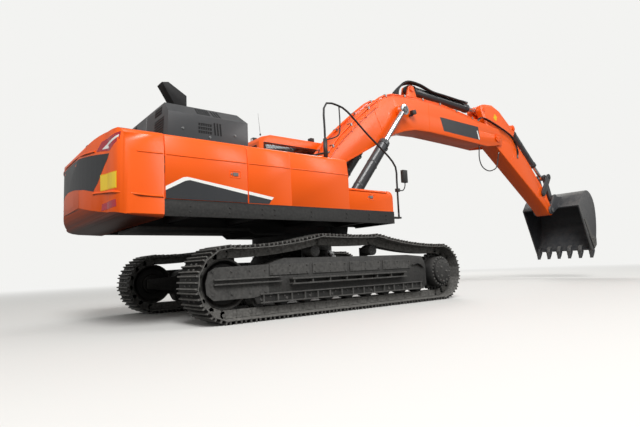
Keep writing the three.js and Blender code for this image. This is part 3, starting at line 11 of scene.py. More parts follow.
import bmesh
import bpy
from mathutils import Matrix, Vector, noise
from mathutils.bvhtree import BVHTree

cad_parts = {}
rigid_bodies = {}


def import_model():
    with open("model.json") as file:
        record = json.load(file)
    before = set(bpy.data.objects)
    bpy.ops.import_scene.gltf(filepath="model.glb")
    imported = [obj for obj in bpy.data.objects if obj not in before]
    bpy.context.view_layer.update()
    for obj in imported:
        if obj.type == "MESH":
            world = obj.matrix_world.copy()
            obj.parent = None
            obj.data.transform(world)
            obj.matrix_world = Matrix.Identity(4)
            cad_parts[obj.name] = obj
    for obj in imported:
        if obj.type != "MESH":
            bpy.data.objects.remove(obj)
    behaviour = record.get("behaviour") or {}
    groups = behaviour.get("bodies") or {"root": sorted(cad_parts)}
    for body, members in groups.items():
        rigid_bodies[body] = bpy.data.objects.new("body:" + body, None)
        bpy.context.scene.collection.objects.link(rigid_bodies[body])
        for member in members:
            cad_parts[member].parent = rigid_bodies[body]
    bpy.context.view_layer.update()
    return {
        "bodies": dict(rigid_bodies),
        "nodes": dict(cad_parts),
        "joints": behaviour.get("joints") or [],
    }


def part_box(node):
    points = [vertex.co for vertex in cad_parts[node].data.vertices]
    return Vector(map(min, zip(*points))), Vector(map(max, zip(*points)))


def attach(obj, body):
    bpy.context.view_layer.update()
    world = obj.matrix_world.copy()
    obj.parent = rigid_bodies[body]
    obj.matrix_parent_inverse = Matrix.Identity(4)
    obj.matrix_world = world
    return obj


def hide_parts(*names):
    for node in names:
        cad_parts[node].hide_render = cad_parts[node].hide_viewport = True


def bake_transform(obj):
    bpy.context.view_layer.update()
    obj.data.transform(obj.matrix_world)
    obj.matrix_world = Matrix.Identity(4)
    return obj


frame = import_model()

# %% [markdown]
# A boom leans, an arm folds and a bucket hangs, so a bolt on one of them is easiest to place in
# that piece's own axes. The pivots come from the frame's joints: a place starts at one pivot and
# looks at the next one.

# %% Places of the main parts
MM = 0.001


def middle(node):
    low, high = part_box(node)
    return (low + high) / 2


def pivot(joint):
    found = next(j for j in frame["joints"] if j["name"] == joint)
    return Vector(found["pos_m"])


def place(origin, toward):
    ahead = Vector((toward.x - origin.x, 0, toward.z - origin.z)).normalized()
    axes = Matrix(((ahead.x, 0, -ahead.z), (0, 1, 0), (ahead.z, 0, ahead.x))).to_4x4()
    return Matrix.Translation((origin.x, 0, origin.z)) @ axes @ Matrix.Scale(MM, 4)


SWING = Vector((middle("swing_bearing").x, 0, 0))
MACHINE = Matrix.Translation(SWING) @ Matrix.Scale(MM, 4)
BOOM = place(pivot("boom_lift"), pivot("arm_crowd"))
ARM = place(pivot("arm_crowd"), pivot("bucket_curl"))
BOOM_LENGTH = (pivot("arm_crowd") - pivot("boom_lift")).length / MM
ARM_LENGTH = (pivot("bucket_curl") - pivot("arm_crowd")).length / MM
BUCKET_ANGLE = math.radians(-20.3)
BUCKET = ARM @ Matrix.Translation((ARM_LENGTH, 0, 0)) @ Matrix.Rotation(-BUCKET_ANGLE, 4, "Y")
print("boom", round(BOOM_LENGTH), "mm, arm", round(ARM_LENGTH), "mm between pins")

# %% [markdown]
# The camera stands low and behind the machine's right rear corner, a few steps away, so the tail
# looms and the bucket looks small. Its height, heading and lens are the ones that line up with the
# machine's real size. It leans a little, so the roll is kept too.

# %% Camera
CAMERA_AT = Vector((-4965, -7076, 671))     # from the swing centre, in mm
HEADING, PITCH, ROLL = (math.radians(a) for a in (51.589, 6.435, -2.416))
SENSOR, LENS = 36.0, 26.56                  # mm


def make_camera():
    level = Vector((math.sin(HEADING), -math.cos(HEADING), 0))
    ahead = Vector((-level.y * math.cos(PITCH), level.x * math.cos(PITCH), math.sin(PITCH)))
    above = level.cross(ahead)
    right = math.cos(ROLL) * level + math.sin(ROLL) * above
    upward = math.cos(ROLL) * above - math.sin(ROLL) * level
    data = bpy.data.cameras.new("view")
    data.sensor_width, data.lens = SENSOR, LENS
    data.clip_start, data.clip_end = 0.1, 500
    camera = bpy.data.objects.new("view", data)
    turn = Matrix((right, upward, -ahead)).transposed().to_4x4()
    camera.matrix_world = Matrix.Translation(MACHINE @ CAMERA_AT) @ turn
    bpy.context.scene.collection.objects.link(camera)
    bpy.context.scene.camera = camera
    return camera


print("camera at", [round(v, 2) for v in make_camera().location])

# %% [markdown]
# Light decides whether paint reads as paint. A pale sky gives the soft fill, one wide lamp high
# behind the camera gives the sheen along the panels, and two weaker ones keep the rest readable.
# Their levels are kept plain: a colour renders about as bright as it is written.

# %% Floor, sky and lamps
def linear(hex_colour):
    """An sRGB hex colour as the linear RGBA that a shader socket takes."""
    parts = [int(hex_colour[i:i + 2], 16) / 255 for i in (1, 3, 5)]
    return (*[c / 12.92 if c < 0.04045 else ((c + 0.055) / 1.055) ** 2.4 for c in parts], 1)


def add(tree, kind, inputs=None, **settings):
    """Adds a node, sets its properties, and fills or links its sockets."""
    made = tree.nodes.new(kind)
    for key, value in settings.items():
        setattr(made, key, value)
    for key, value in (inputs or {}).items():
        if isinstance(value, bpy.types.NodeSocket):
            tree.links.new(value, made.inputs[key])
        else:
            made.inputs[key].default_value = value
    return made


def mix(tree, share, first, second):
    """Blends two colours by a share."""
    return add(tree, "ShaderNodeMix", {0: share, 6: first, 7: second}, data_type="RGBA").outputs[2]


def times(tree, first, second, **settings):
    return add(tree, "ShaderNodeMath", {0: first, 1: second}, operation="MULTIPLY", **settings).outputs[0]


def span(tree, value, low, high, to_low, to_high, **settings):
    """Stretches a value from one range onto another, and holds it there."""
    ends = {"Value": value, "From Min": low, "From Max": high, "To Min": to_low, "To Max": to_high}
    return add(tree, "ShaderNodeMapRange", ends, **settings).outputs[0]


def new_material(name):
    material = bpy.data.materials.new(name)
    material.use_nodes = True
    material.node_tree.nodes.clear()
    return material, material.node_tree


SKY_LEVEL = 0.46
PALE = "#F3F3F1"
FADE_FROM, FADE_TO = 7, 30                  # metres from the machine's middle
FLOOR_R, FLOOR_GAP = 160, 0.004             # metres, the gap keeps it just under the tracks
LAMP_AIM = Vector((1, 0, 1.5))


def make_sky():
    world = bpy.data.worlds.new("studio")
    world.use_nodes = True
    tree = world.node_tree
    tree.nodes.clear()
    path = add(tree, "ShaderNodeLightPath")
    seen = add(tree, "ShaderNodeMath", {0: path.outputs["Is Camera Ray"],
                                        1: path.outputs["Is Transmission Ray"]}, operation="MAXIMUM")
    level = span(tree, seen.outputs[0], 0, 1, SKY_LEVEL, 1)
    back = add(tree, "ShaderNodeBackground", {"Color": linear(PALE), "Strength": level})
    add(tree, "ShaderNodeOutputWorld", {"Surface": back.outputs[0]})
    bpy.context.scene.world = world


def make_floor():
    material, tree = new_material("pale_concrete_floor")
    grain = add(tree, "ShaderNodeTexNoise", {"Scale": 3.0, "Detail": 6.0})
    tone = mix(tree, grain.outputs[0], linear("#D9D8D5"), linear("#E2E1DE"))
    # the floor gives back less light than it shows, as ground under a machine does
    seen = add(tree, "ShaderNodeLightPath").outputs["Is Camera Ray"]
    colour = mix(tree, seen, linear("#6C6B69"), tone)
    shader = add(tree, "ShaderNodeBsdfPrincipled", {"Base Color": colour, "Roughness": 0.85})
    # far away it fades into the backdrop, so that no horizon cuts the picture
    at = add(tree, "ShaderNodeTexCoord").outputs["Object"]
    far = add(tree, "ShaderNodeVectorMath", {0: at}, operation="LENGTH")
    fade = span(tree, far.outputs["Value"], FADE_FROM, FADE_TO, 0, 1, interpolation_type="SMOOTHSTEP")
    glow = add(tree, "ShaderNodeEmission", {"Color": linear(PALE), "Strength": 1.0})
    both = add(tree, "ShaderNodeMixShader", {0: times(tree, fade, seen), 1: shader.outputs[0],
                                             2: glow.outputs[0]})
    add(tree, "ShaderNodeOutputMaterial", {"Surface": both.outputs[0]})
    bpy.ops.mesh.primitive_circle_add(vertices=96, radius=FLOOR_R, fill_type="NGON",
                                      location=(0, 0, -FLOOR_GAP))
    floor = bpy.context.object
    floor.name = "floor"
    floor.data.materials.append(material)


def make_lamp(name, at, size, power):
    data = bpy.data.lights.new(name, "AREA")
    data.shape, data.size, data.size_y = "RECTANGLE", size[0], size[1]
    data.energy = power
    lamp = bpy.data.objects.new(name, data)
    lamp.location = at
    lamp.rotation_mode = "QUATERNION"
    lamp.rotation_quaternion = (LAMP_AIM - Vector(at)).to_track_quat("-Z", "Y")
    bpy.context.scene.collection.objects.link(lamp)


make_sky()
make_floor()
make_lamp("key", (-12, -15, 17), (9, 9), 4700)
make_lamp("fill", (14, 12, 12), (12, 12), 1600)
make_lamp("rim", (10, -14, 12), (8, 8), 1000)
bpy.context.scene.view_settings.view_transform = "Standard"
print("lamps, W:", {lamp.name: lamp.energy for lamp in bpy.data.lights})

# %% [markdown]
# Most of this machine is painted steel plate. Coach-like enamel is smooth and a little glossy, it dulls where
# dust settles on upward faces and near the ground, and it wears bright at the edges that rub. One function
# makes every such finish from the same few causes, so they age together. It can also paint shade: faces that
# look down are darkened towards black.

# %% A finish from real causes, with painted shade below
# the near-black of the painted shade on faces that look down
PAINTED_SHADE_BLACK = "#141313"
PATCHES, CLOUDS, CHIPS = 1.7, 7.0, 28.0     # noise cells in a metre
DUSTY = (0.35, 0.72)                        # cloud values where dust begins and where it is full
UNDERSIDE = (-0.5, -0.95)                   # how far down a face looks where the painted shade begins and is full
SHARP = (0.515, 0.58)                       # pointiness where an edge begins to wear and is bare
DUSTY_ROUGHNESS = 0.85


def shade(hex_colour, share):
    """The same colour, lighter or darker by a share."""
    return (*[min(1, c * (1 + share)) for c in linear(hex_colour)[:3]], 1)


def finish(name, colour, roughness, metallic=0.0, coat=0.0, ior=1.5, grit_mm=6.0, relief_mm=0.05,
           blotch=0.05, dust=0.1, dust_colour="#8E8983", dust_height=0.0, wear=0.0, wear_colour="#A9A7A2",
           streak=0.0, clear=0.0, grime=0.0):
    """grit_mm is the size of the surface's grain and relief_mm its depth. dust_height is how far up from the
    ground the dust reaches, in metres. streak pulls the dirt into vertical runs, and the last argument is how
    dark the painted shade is on faces that look down."""
    material, tree = new_material(name)
    at = add(tree, "ShaderNodeTexCoord").outputs["Object"]

    def noise_at(scale, detail, vector=at, **inputs):
        return add(tree, "ShaderNodeTexNoise", {"Vector": vector, "Scale": scale, "Detail": detail,
                                                **inputs}).outputs[0]

    base = mix(tree, noise_at(PATCHES, 5.0), shade(colour, -blotch), shade(colour, blotch))
    # dirt lies on upward faces, in cloudy patches, and more of it lies low down
    stretch = add(tree, "ShaderNodeMapping", {"Vector": at, "Scale": (1, 1, 1 - 0.85 * streak)})
    cloud = noise_at(CLOUDS, 9.0, stretch.outputs[0], Roughness=0.68)
    geometry = add(tree, "ShaderNodeNewGeometry").outputs
    upward = add(tree, "ShaderNodeSeparateXYZ", {0: geometry["Normal"]}).outputs["Z"]
    lying = span(tree, upward, -0.35, 1, 0, dust)
    if dust_height:
        height = add(tree, "ShaderNodeSeparateXYZ", {0: at}).outputs["Z"]
        lying = times(tree, lying, span(tree, height, 0, dust_height, 1, 0))
    cover = times(tree, span(tree, cloud, *DUSTY, 0, 1), lying, use_clamp=True)
    dust_and_shade = mix(tree, cover, base, linear(dust_colour))
    # painted shade: faces that look down are darkened towards black, standing in for the light that does not
    # reach them
    if grime:
        dust_and_shade = mix(tree, span(tree, upward, *UNDERSIDE, 0, grime), dust_and_shade, linear(PAINTED_SHADE_BLACK))
    # bare metal shows where edges rub
    edge = span(tree, geometry["Pointiness"], *SHARP, 0, wear)
    chipped = times(tree, noise_at(CHIPS, 6.0), edge, use_clamp=True)
    worn = mix(tree, chipped, dust_and_shade, linear(wear_colour))
    gloss = span(tree, cover, 0, 1, roughness, max(DUSTY_ROUGHNESS, roughness))
    bump = add(tree, "ShaderNodeBump", {"Height": noise_at(1 / (grit_mm * MM), 3.0), "Strength": 1.0,
                                        "Distance": relief_mm * MM})
    shader = add(tree, "ShaderNodeBsdfPrincipled", {
        "Base Color": worn, "Roughness": gloss, "Metallic": metallic, "IOR": ior,
        "Coat Weight": coat, "Coat Roughness": 0.12, "Transmission Weight": clear, "Normal": bump.outputs[0]})
    add(tree, "ShaderNodeOutputMaterial", {"Surface": shader.outputs[0]})
    return material


print("a tenth lighter than mid grey:", [round(c, 3) for c in shade("#808080", 0.1)[:3]])

# %% [markdown]
# Each finish is named for what it really is. Two-pack enamel is sprayed over primer and stays glossy; on the
# counterweight its faces that look down get painted shade, darkened towards black. Chassis black is a thinner
# satin coat that dust greys. Track links are forged steel that polishes itself on the rollers. Hard chrome on
# a rod shines like a mirror.

# %% Finishes
orange_enamel = finish("orange_two_pack_enamel", "#FF6000", 0.36, coat=0.06, dust=0.05,
                       dust_colour="#C96A35", relief_mm=0.02, blotch=0.035)
# the counterweight's enamel, with painted shade on the faces that look down
casting_enamel_shaded_below = finish("orange_enamel_painted_shade_below", "#FF6000", 0.36, coat=0.06, dust=0.05,
                        dust_colour="#C96A35", relief_mm=0.06, blotch=0.035, grime=0.92)
charcoal_enamel = finish("charcoal_enamel", "#3B3C3E", 0.42, coat=0.12, dust=0.12, relief_mm=0.03)
chassis_black = finish("satin_chassis_black", "#0C0C0D", 0.50, dust=0.05, wear=0.15)
track_frame_black = finish("dusty_chassis_black", "#0B0B0C", 0.60, dust=0.6, dust_colour="#6E6A66",
                           dust_height=2.2, streak=0.9, wear=0.35, relief_mm=0.3)
track_steel = finish("forged_track_steel", "#0E0D0D", 0.50, metallic=0.3, dust=0.6,
                     dust_colour="#6F6A64", dust_height=2.4, wear=1.0, grit_mm=9, relief_mm=0.5,
                     blotch=0.15)
cylinder_grey = finish("cylinder_grey_enamel", "#3B3D40", 0.36, coat=0.2, dust=0.15)
bucket_paint = finish("worn_bucket_paint", "#34363A", 0.50, dust=0.35, wear=0.8, relief_mm=0.25,
                      blotch=0.1)
cutting_steel = finish("ground_cutting_steel", "#5C5B59", 0.42, metallic=0.75, dust=0.35, wear=0.8,
                       grit_mm=4, relief_mm=0.2, blotch=0.15)
hard_chrome = finish("hard_chrome", "#DADCDE", 0.10, metallic=1.0, dust=0.0, grit_mm=3,
                     relief_mm=0.004, blotch=0.02)
zinc_bolt = finish("zinc_plated_steel", "#8B8C8C", 0.38, metallic=0.9, dust=0.25, grit_mm=2)
hose_rubber = finish("braided_hose_rubber", "#17181A", 0.55, dust=0.2, grit_mm=5, relief_mm=0.3)
seal_rubber = finish("black_seal_rubber", "#121314", 0.70, dust=0.2, grit_mm=3)
moulded_plastic = finish("grained_moulded_plastic", "#232427", 0.58, dust=0.12, grit_mm=2.5,
                         relief_mm=0.15)
scorched_steel = finish("heat_resistant_black", "#0D0D0E", 0.66, dust=0.06, grit_mm=4, relief_mm=0.1)
grip_coat = finish("gritty_walkway_coat", "#2A2B2C", 0.85, dust=0.35, relief_mm=0.9)
charcoal_vinyl = finish("charcoal_vinyl_film", "#2E3033", 0.38, dust=0.06, relief_mm=0.005)
white_vinyl = finish("white_vinyl_film", "#F2F2EE", 0.35, dust=0.08, relief_mm=0.005)
yellow_vinyl = finish("yellow_vinyl_film", "#F2C100", 0.38, dust=0.08, relief_mm=0.005)
red_reflector = finish("crimson_reflective_film", "#B01830", 0.22, coat=0.6, dust=0.05, relief_mm=0.1)
lamp_lens = finish("clear_polycarbonate_lens", "#E9ECEE", 0.12, coat=0.5, ior=1.58, dust=0.0,
                   relief_mm=0.3)
mirror_glass = finish("silvered_mirror", "#C8CDD0", 0.06, metallic=1.0, dust=0.0, relief_mm=0.002)
# painted shade: a near-black film stands for the dark inside the hood's slots
slot_shade = finish("painted_shade_in_slots", "#0B0B0C", 0.8, dust=0.0)
tinted_glass = finish("tinted_safety_glass", "#A9BBC0", 0.02, ior=1.52, clear=1.0, dust=0.03,
                      relief_mm=0.002, blotch=0.02)
print("finishes", len(bpy.data.materials))

# %% [markdown]
# Seat cloth is woven: yarn goes over and under in two directions. Two crossed waves make the
# weave. They are 6 mm apart, wider than real yarn, so that they still show at this distance.

# %% Seat cloth
YARN_MM = 6.0
WAVES_AT_SCALE_1 = 20                       # what a wave texture draws across one unit


def make_cloth():
    material, tree = new_material("woven_seat_cloth")
    at = add(tree, "ShaderNodeTexCoord").outputs["Object"]
    wave = {"Vector": at, "Scale": 1 / (YARN_MM * MM) / WAVES_AT_SCALE_1, "Distortion": 0.6}
    yarns = [add(tree, "ShaderNodeTexWave", wave, bands_direction=way).outputs["Fac"] for way in ("X", "Y")]
    weave = times(tree, *yarns)
    colour = mix(tree, weave, linear("#1C1E22"), linear("#3A3D43"))
    bump = add(tree, "ShaderNodeBump", {"Height": weave, "Distance": 0.8 * MM})
    shader = add(tree, "ShaderNodeBsdfPrincipled", {"Base Color": colour, "Roughness": 0.9,
                                                    "Sheen Weight": 0.3, "Normal": bump.outputs[0]})
    add(tree, "ShaderNodeOutputMaterial", {"Surface": shader.outputs[0]})
    return material


seat_cloth = make_cloth()
print("cloth made of", len(seat_cloth.node_tree.nodes), "nodes")

# %% [markdown]
# The solids keep their exact shape. A welded, bevelled and smoothly shaded edge is what paint and
# rolling leave on real plate, so each solid gets a small bevel modifier, which changes no vertex
# of the mesh itself.

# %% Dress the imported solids
def round_edges(piece, width_mm, smooth_deg=32):
    piece.data.shade_smooth()
    piece.data.set_sharp_from_angle(angle=math.radians(smooth_deg))
    if width_mm:
        bevel = piece.modifiers.new("edges", "BEVEL")
        bevel.width, bevel.segments = width_mm * MM, 2
        bevel.limit_method, bevel.angle_limit = "ANGLE", math.radians(smooth_deg)
        bevel.harden_normals = True
        bevel.use_clamp_overlap = True


DRESS = {
    casting_enamel_shaded_below: "counterweight",
    orange_enamel: "pump_door radiator_door battery_door hydraulic_tank fuel_tank toolbox "
                   "toolbox_lid cab_shell cab_door boom arm",
    charcoal_enamel: "machinery_house engine_hood bucket_rocker push_link",
    chassis_black: "revolving_frame centre_cover handrail_right mirror_left mirror_right boom_lamp "
                   "work_lamp_front work_lamp_rear rear_camera car_body",
    track_frame_black: "track_frame_left track_frame_right sprocket_left sprocket_right",
    track_steel: "track_left track_right idler_left idler_right swing_bearing",
    scorched_steel: "exhaust_stack engine_block",
    tinted_glass: "door_glass windscreen cab_glass_right cab_glass_left cab_glass_rear",
    moulded_plastic: "control_console",
    seat_cloth: "operator_seat",
    cylinder_grey: "boom_cylinder_left boom_cylinder_right arm_cylinder bucket_cylinder",
    hard_chrome: "boom_rod_left boom_rod_right arm_rod bucket_rod",
    bucket_paint: "bucket",
}
BEVEL_MM = {"counterweight": 14, "boom": 6, "arm": 6, "cab_shell": 8, "engine_hood": 8,
            "machinery_house": 8, "handrail_right": 0, "mirror_right": 2, "mirror_left": 2,
            "toolbox": 10, "exhaust_stack": 5, "control_console": 6}
USUAL_BEVEL_MM, WELD_MM = 4, 0.2


def dress_solids():
    dressed = 0
    for material, names in DRESS.items():
        for name in names.split():
            solid = frame["nodes"][name]
            solid.data.materials.clear()
            solid.data.materials.append(material)
            solid.modifiers.new("weld", "WELD").merge_threshold = WELD_MM * MM
            if material is tinted_glass:
                solid.data.shade_flat()
            else:
                round_edges(solid, BEVEL_MM.get(name, USUAL_BEVEL_MM))
            dressed += 1
    return dressed


print("dressed", dress_solids(), "of", len(frame["nodes"]), "solids")

# %% [markdown]
# Everything else is small work in steel: plates, bars, pipes and bolts. The maker gathers such
# solids in one mesh, in the millimetres of the arm it belongs to, and hands it over as one piece.

# %% The maker
class Maker:
    def __init__(self, at=MACHINE):
        self.mesh, self.at = bmesh.new(), at

    def loft(self, rings):
        rows = [[self.mesh.verts.new(p) for p in ring] for ring in rings]
        count = len(rows[0])
        for low, high in zip(rows, rows[1:]):
            for i in range(count):
                self.mesh.faces.new((low[i], low[(i + 1) % count], high[(i + 1) % count], high[i]))
        self.mesh.faces.new(reversed(rows[0]))
        self.mesh.faces.new(rows[-1])
        return self

    def plate(self, outline, near, far, across="y"):
        """An outline pushed from near to far, given as x, z across y and as x, y across z."""
        lay = {"y": lambda a, b, t: (a, t, b), "z": lambda a, b, t: (a, b, t)}[across]
        return self.loft([[lay(a, b, t) for a, b in outline] for t in (near, far)])

    def block(self, x, y, z):
        return self.plate([(x[0], y[0]), (x[1], y[0]), (x[1], y[1]), (x[0], y[1])], z[0], z[1], "z")

    def sweep(self, points, radii, sides):
        points = [Vector(p) for p in points]
        ahead = (points[1] - points[0]).normalized()
        side = ahead.orthogonal().normalized()
        rings = []
        for i, (point, r) in enumerate(zip(points, radii)):
            ahead = (points[min(i + 1, len(points) - 1)] - points[max(i - 1, 0)]).normalized()
            side = (side - ahead * side.dot(ahead)).normalized()
            other = ahead.cross(side)
            rings.append([point + r * (math.cos(a) * side + math.sin(a) * other)
                          for a in (2 * math.pi * k / sides for k in range(sides))])
        return self.loft(rings)

    def bar(self, start, end, r, end_r=None, sides=18):
        return self.sweep([start, end], [r, r if end_r is None else end_r], sides)

    def tube(self, points, r, sides=10):
        fine = smooth_line(points)
        return self.sweep(fine, [r] * len(fine), sides)

    def bolt(self, at, out, r=13):
        at, out = Vector(at), Vector(out).normalized()
        self.bar(at - out * 2, at + out * r * 0.25, r * 1.35, sides=12)
        return self.bar(at, at + out * r * 0.95, r, sides=6)

    def bolts(self, spots, out, r=13):
        for spot in spots:
            self.bolt(spot, out, r)
        return self

    def done(self, name, body, material, bevel=2.0, smooth=35):
        bmesh.ops.recalc_face_normals(self.mesh, faces=self.mesh.faces)
        self.mesh.transform(self.at)
        data = bpy.data.meshes.new(name)
        self.mesh.to_mesh(data)
        self.mesh.free()
        data.materials.append(material)
        piece = bpy.data.objects.new(name, data)
        bpy.context.scene.collection.objects.link(piece)
        round_edges(piece, bevel, smooth)
        if isinstance(body, str):
            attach(piece, body)
        else:
            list(body)
            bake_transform(piece)
        return piece


def smooth_line(points, steps=6):
    """Points along a smooth curve through the given ones."""
    p = [Vector(q) for q in points]
    p = [2 * p[0] - p[1], *p, 2 * p[-1] - p[-2]]
    line = []
    for a, b, c, d in zip(p, p[1:], p[2:], p[3:]):
        for k in range(steps):
            t = k / steps
            line.append(0.5 * (2 * b + (c - a) * t + (2 * a - 5 * b + 4 * c - d) * t * t
                               + (3 * b - a - 3 * c + d) * t ** 3))
    return [*line, p[-2]]


def ring(centre, r, count, axis="y"):
    """Evenly spaced points on a circle across an axis."""
    turns = [2 * math.pi * k / count for k in range(count)]
    round_it = [(r * math.cos(a), r * math.sin(a)) for a in turns]
    return [Vector(centre) + Vector((u, 0, v) if axis == "y" else (u, v, 0)) for u, v in round_it]


def up(height):
    return Vector((0, 0, height))


def home(node):
    """The body a solid rides on: its own if it moves, or else the upper structure."""
    return node if node in frame["bodies"] else UPPER


SIDES = ((1, "left"), (-1, "right"))
RIGHT, LEFT, REAR, FRONT, TOP, DOWN = (0, -1, 0), (0, 1, 0), (-1, 0, 0), (1, 0, 0), (0, 0, 1), (0, 0, -1)
UNDER, UPPER = "undercarriage", "upper"

# %% [markdown]
# A track is a chain of forged links that rides on the rollers, with a rolled steel shoe bolted
# across each link. Three bars on a shoe, the grousers, dig into the ground. The loop is measured
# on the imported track: flat below, round the end wheels, and sagging between the carrier rollers.

# %% Track path
TRACK_LOW, TRACK_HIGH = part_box("track_right")
END_R = 500.0
END_X = (TRACK_HIGH.x - TRACK_LOW.x) / 2 / MM - END_R
TRACK_Y = abs((TRACK_LOW.y + TRACK_HIGH.y) / 2) / MM
SHOE_HALF = (TRACK_HIGH.y - TRACK_LOW.y) / 2 / MM
GROUSER, SHOE_PLATE, LINK_HIGH = 30, 25, 110
CARRIERS = (-640, 560)
CARRIER_TOP = TRACK_HIGH.z / MM
SHOE_STEP = 216


def top_run(x):
    """Height of the grouser tips along the sagging upper run."""
    stops = ((-END_X, 2 * END_R, 45), (CARRIERS[0], CARRIER_TOP, 12), (CARRIERS[1], CARRIER_TOP, 45),
             (END_X, 2 * END_R, 0))
    (xa, za, sag), (xb, zb, _) = next(pair for pair in zip(stops, stops[1:]) if x <= pair[1][0])
    t = (x - xa) / (xb - xa)
    return za + (zb - za) * t - 4 * sag * t * (1 - t)


def track_line():
    turn = [math.pi * k / 48 for k in range(49)]
    line = [(END_X + END_R * math.sin(a), END_R - END_R * math.cos(a)) for a in turn]
    line += [(END_X - 2 * END_X * k / 90, top_run(END_X - 2 * END_X * k / 90)) for k in range(1, 90)]
    line += [(-END_X - END_R * math.sin(a), END_R + END_R * math.cos(a)) for a in turn]
    return line + [line[0]]


def shoe_places():
    """One matrix for each shoe: x along the track, z outwards, with its origin at the tips."""
    line = [Vector((x, 0, z)) for x, z in track_line()]
    gone = [0.0]
    for a, b in zip(line, line[1:]):
        gone.append(gone[-1] + (b - a).length)
    count = round(gone[-1] / SHOE_STEP)
    places = []
    for k in range(count):
        want = (k + 0.5) * gone[-1] / count
        i = next(j for j, g in enumerate(gone) if g >= want)
        ahead = (line[min(i + 1, len(line) - 1)] - line[max(i - 2, 0)]).normalized()
        at = line[i - 1].lerp(line[i], (want - gone[i - 1]) / (gone[i] - gone[i - 1]))
        out = Vector((ahead.z, 0, -ahead.x))
        turn = Matrix((ahead, out.cross(ahead), out)).transposed().to_4x4()
        places.append(Matrix.Translation(at) @ turn)
    return places


PLACES = shoe_places()
print("shoes on a track:", len(PLACES))

# %% [markdown]
# A shoe is one rolled section, cut to width and held by four bolts. A link is a pair of forged
# rails on a bushing, with a pad under each shoe bolt. Both are made once and set at every place.

# %% Shoes and links
SHOE_EDGE, GROUSER_STEP = 106, 78           # from the shoe's middle, along the track
BOLT_X, BOLT_Y = 39, 75
RAIL_IN, RAIL_OUT = 62, 98
BUSHING_X = 108


def shoe_part():
    part = Maker(Matrix())
    foot, flat = -GROUSER - SHOE_PLATE, -GROUSER - 8
    outline = [(-SHOE_EDGE, foot), (-SHOE_EDGE, foot + 12), (8 - SHOE_EDGE, flat)]
    for x, top in ((-GROUSER_STEP, -3), (0, 0), (GROUSER_STEP, -3)):
        outline += [(x - 15, flat), (x - 8, top), (x + 8, top), (x + 15, flat)]
    outline += [(SHOE_EDGE - 8, flat), (SHOE_EDGE, foot + 8), (SHOE_EDGE, foot)]
    part.plate(outline, -SHOE_HALF, SHOE_HALF)
    for x in (-BOLT_X, BOLT_X):
        part.bolts([(x, y, flat) for y in (-BOLT_Y, BOLT_Y)], TOP, 14)
    return part.mesh


def link_part():
    part = Maker(Matrix())
    top = -GROUSER - SHOE_PLATE
    low = top - LINK_HIGH
    rail = [(-122, top - 38), (-100, top), (100, top), (122, top - 38), (122, low + 34), (100, low),
            (-100, low), (-122, low + 34)]
    for side in (-1, 1):
        part.plate(rail, side * RAIL_IN, side * RAIL_OUT)
        pad = [(-60, top - 6), (60, top - 6), (44, top - 34), (-44, top - 34)]
        part.plate(pad, side * (RAIL_OUT - 1), side * (RAIL_OUT + 8))
    for half, r, sides in ((RAIL_OUT + 6, 24, 14), (RAIL_IN - 2, 38, 16)):
        part.bar((BUSHING_X, -half, top - 58), (BUSHING_X, half, top - 58), r, sides=sides)
    return part.mesh


def repeat(part, places, side):
    """The same part at every place, as one mesh."""
    whole, one = Maker(), bpy.data.meshes.new("part")
    part.to_mesh(one)
    for spot in places:
        copy = one.copy()
        copy.transform(Matrix.Translation((0, side * TRACK_Y, 0)) @ spot)
        whole.mesh.from_mesh(copy)
        bpy.data.meshes.remove(copy)
    return whole


for side, word in SIDES:
    shoes = repeat(shoe_part(), PLACES, side).done(f"track_shoes_{word}", UNDER, track_steel, 2.5)
    repeat(link_part(), PLACES, side).done(f"track_chain_{word}", UNDER, track_steel, 2.0)
    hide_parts(f"track_{word}")
    print(shoes.name, len(shoes.data.polygons), "faces")

# %% [markdown]
# Bolts and labels have to sit on the steel they belong to. A ray from outside finds the skin of a
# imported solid, so nothing floats and nothing is buried. A film is a flat outline cut into small
# tiles, and each corner is laid on that skin.

# %% Feeling for the surface
SKINS = {}
RAY_START_M = 4                             # how far outside the steel a ray begins


def touch(node, at, out, where=MACHINE):
    """Where a line through a point first meets a solid, coming from outside, and the normal there."""
    if node not in SKINS:
        solid = frame["nodes"][node]
        SKINS[node] = BVHTree.FromPolygons([solid.matrix_world @ v.co for v in solid.data.vertices],
                                           [p.vertices for p in solid.data.polygons])
    away = (where.to_3x3() @ Vector(out)).normalized()
    hit, normal, _, _ = SKINS[node].ray_cast(where @ Vector(at) + away * RAY_START_M, -away)
    if hit is None:
        return Vector(at), Vector(out)
    back = where.inverted()
    return back @ hit, (back.to_3x3() @ normal).normalized()


def seat(node, spots, out, where=MACHINE):
    """The same spots, moved along out until they sit on the solid."""
    return [touch(node, spot, out, where)[0] for spot in spots]


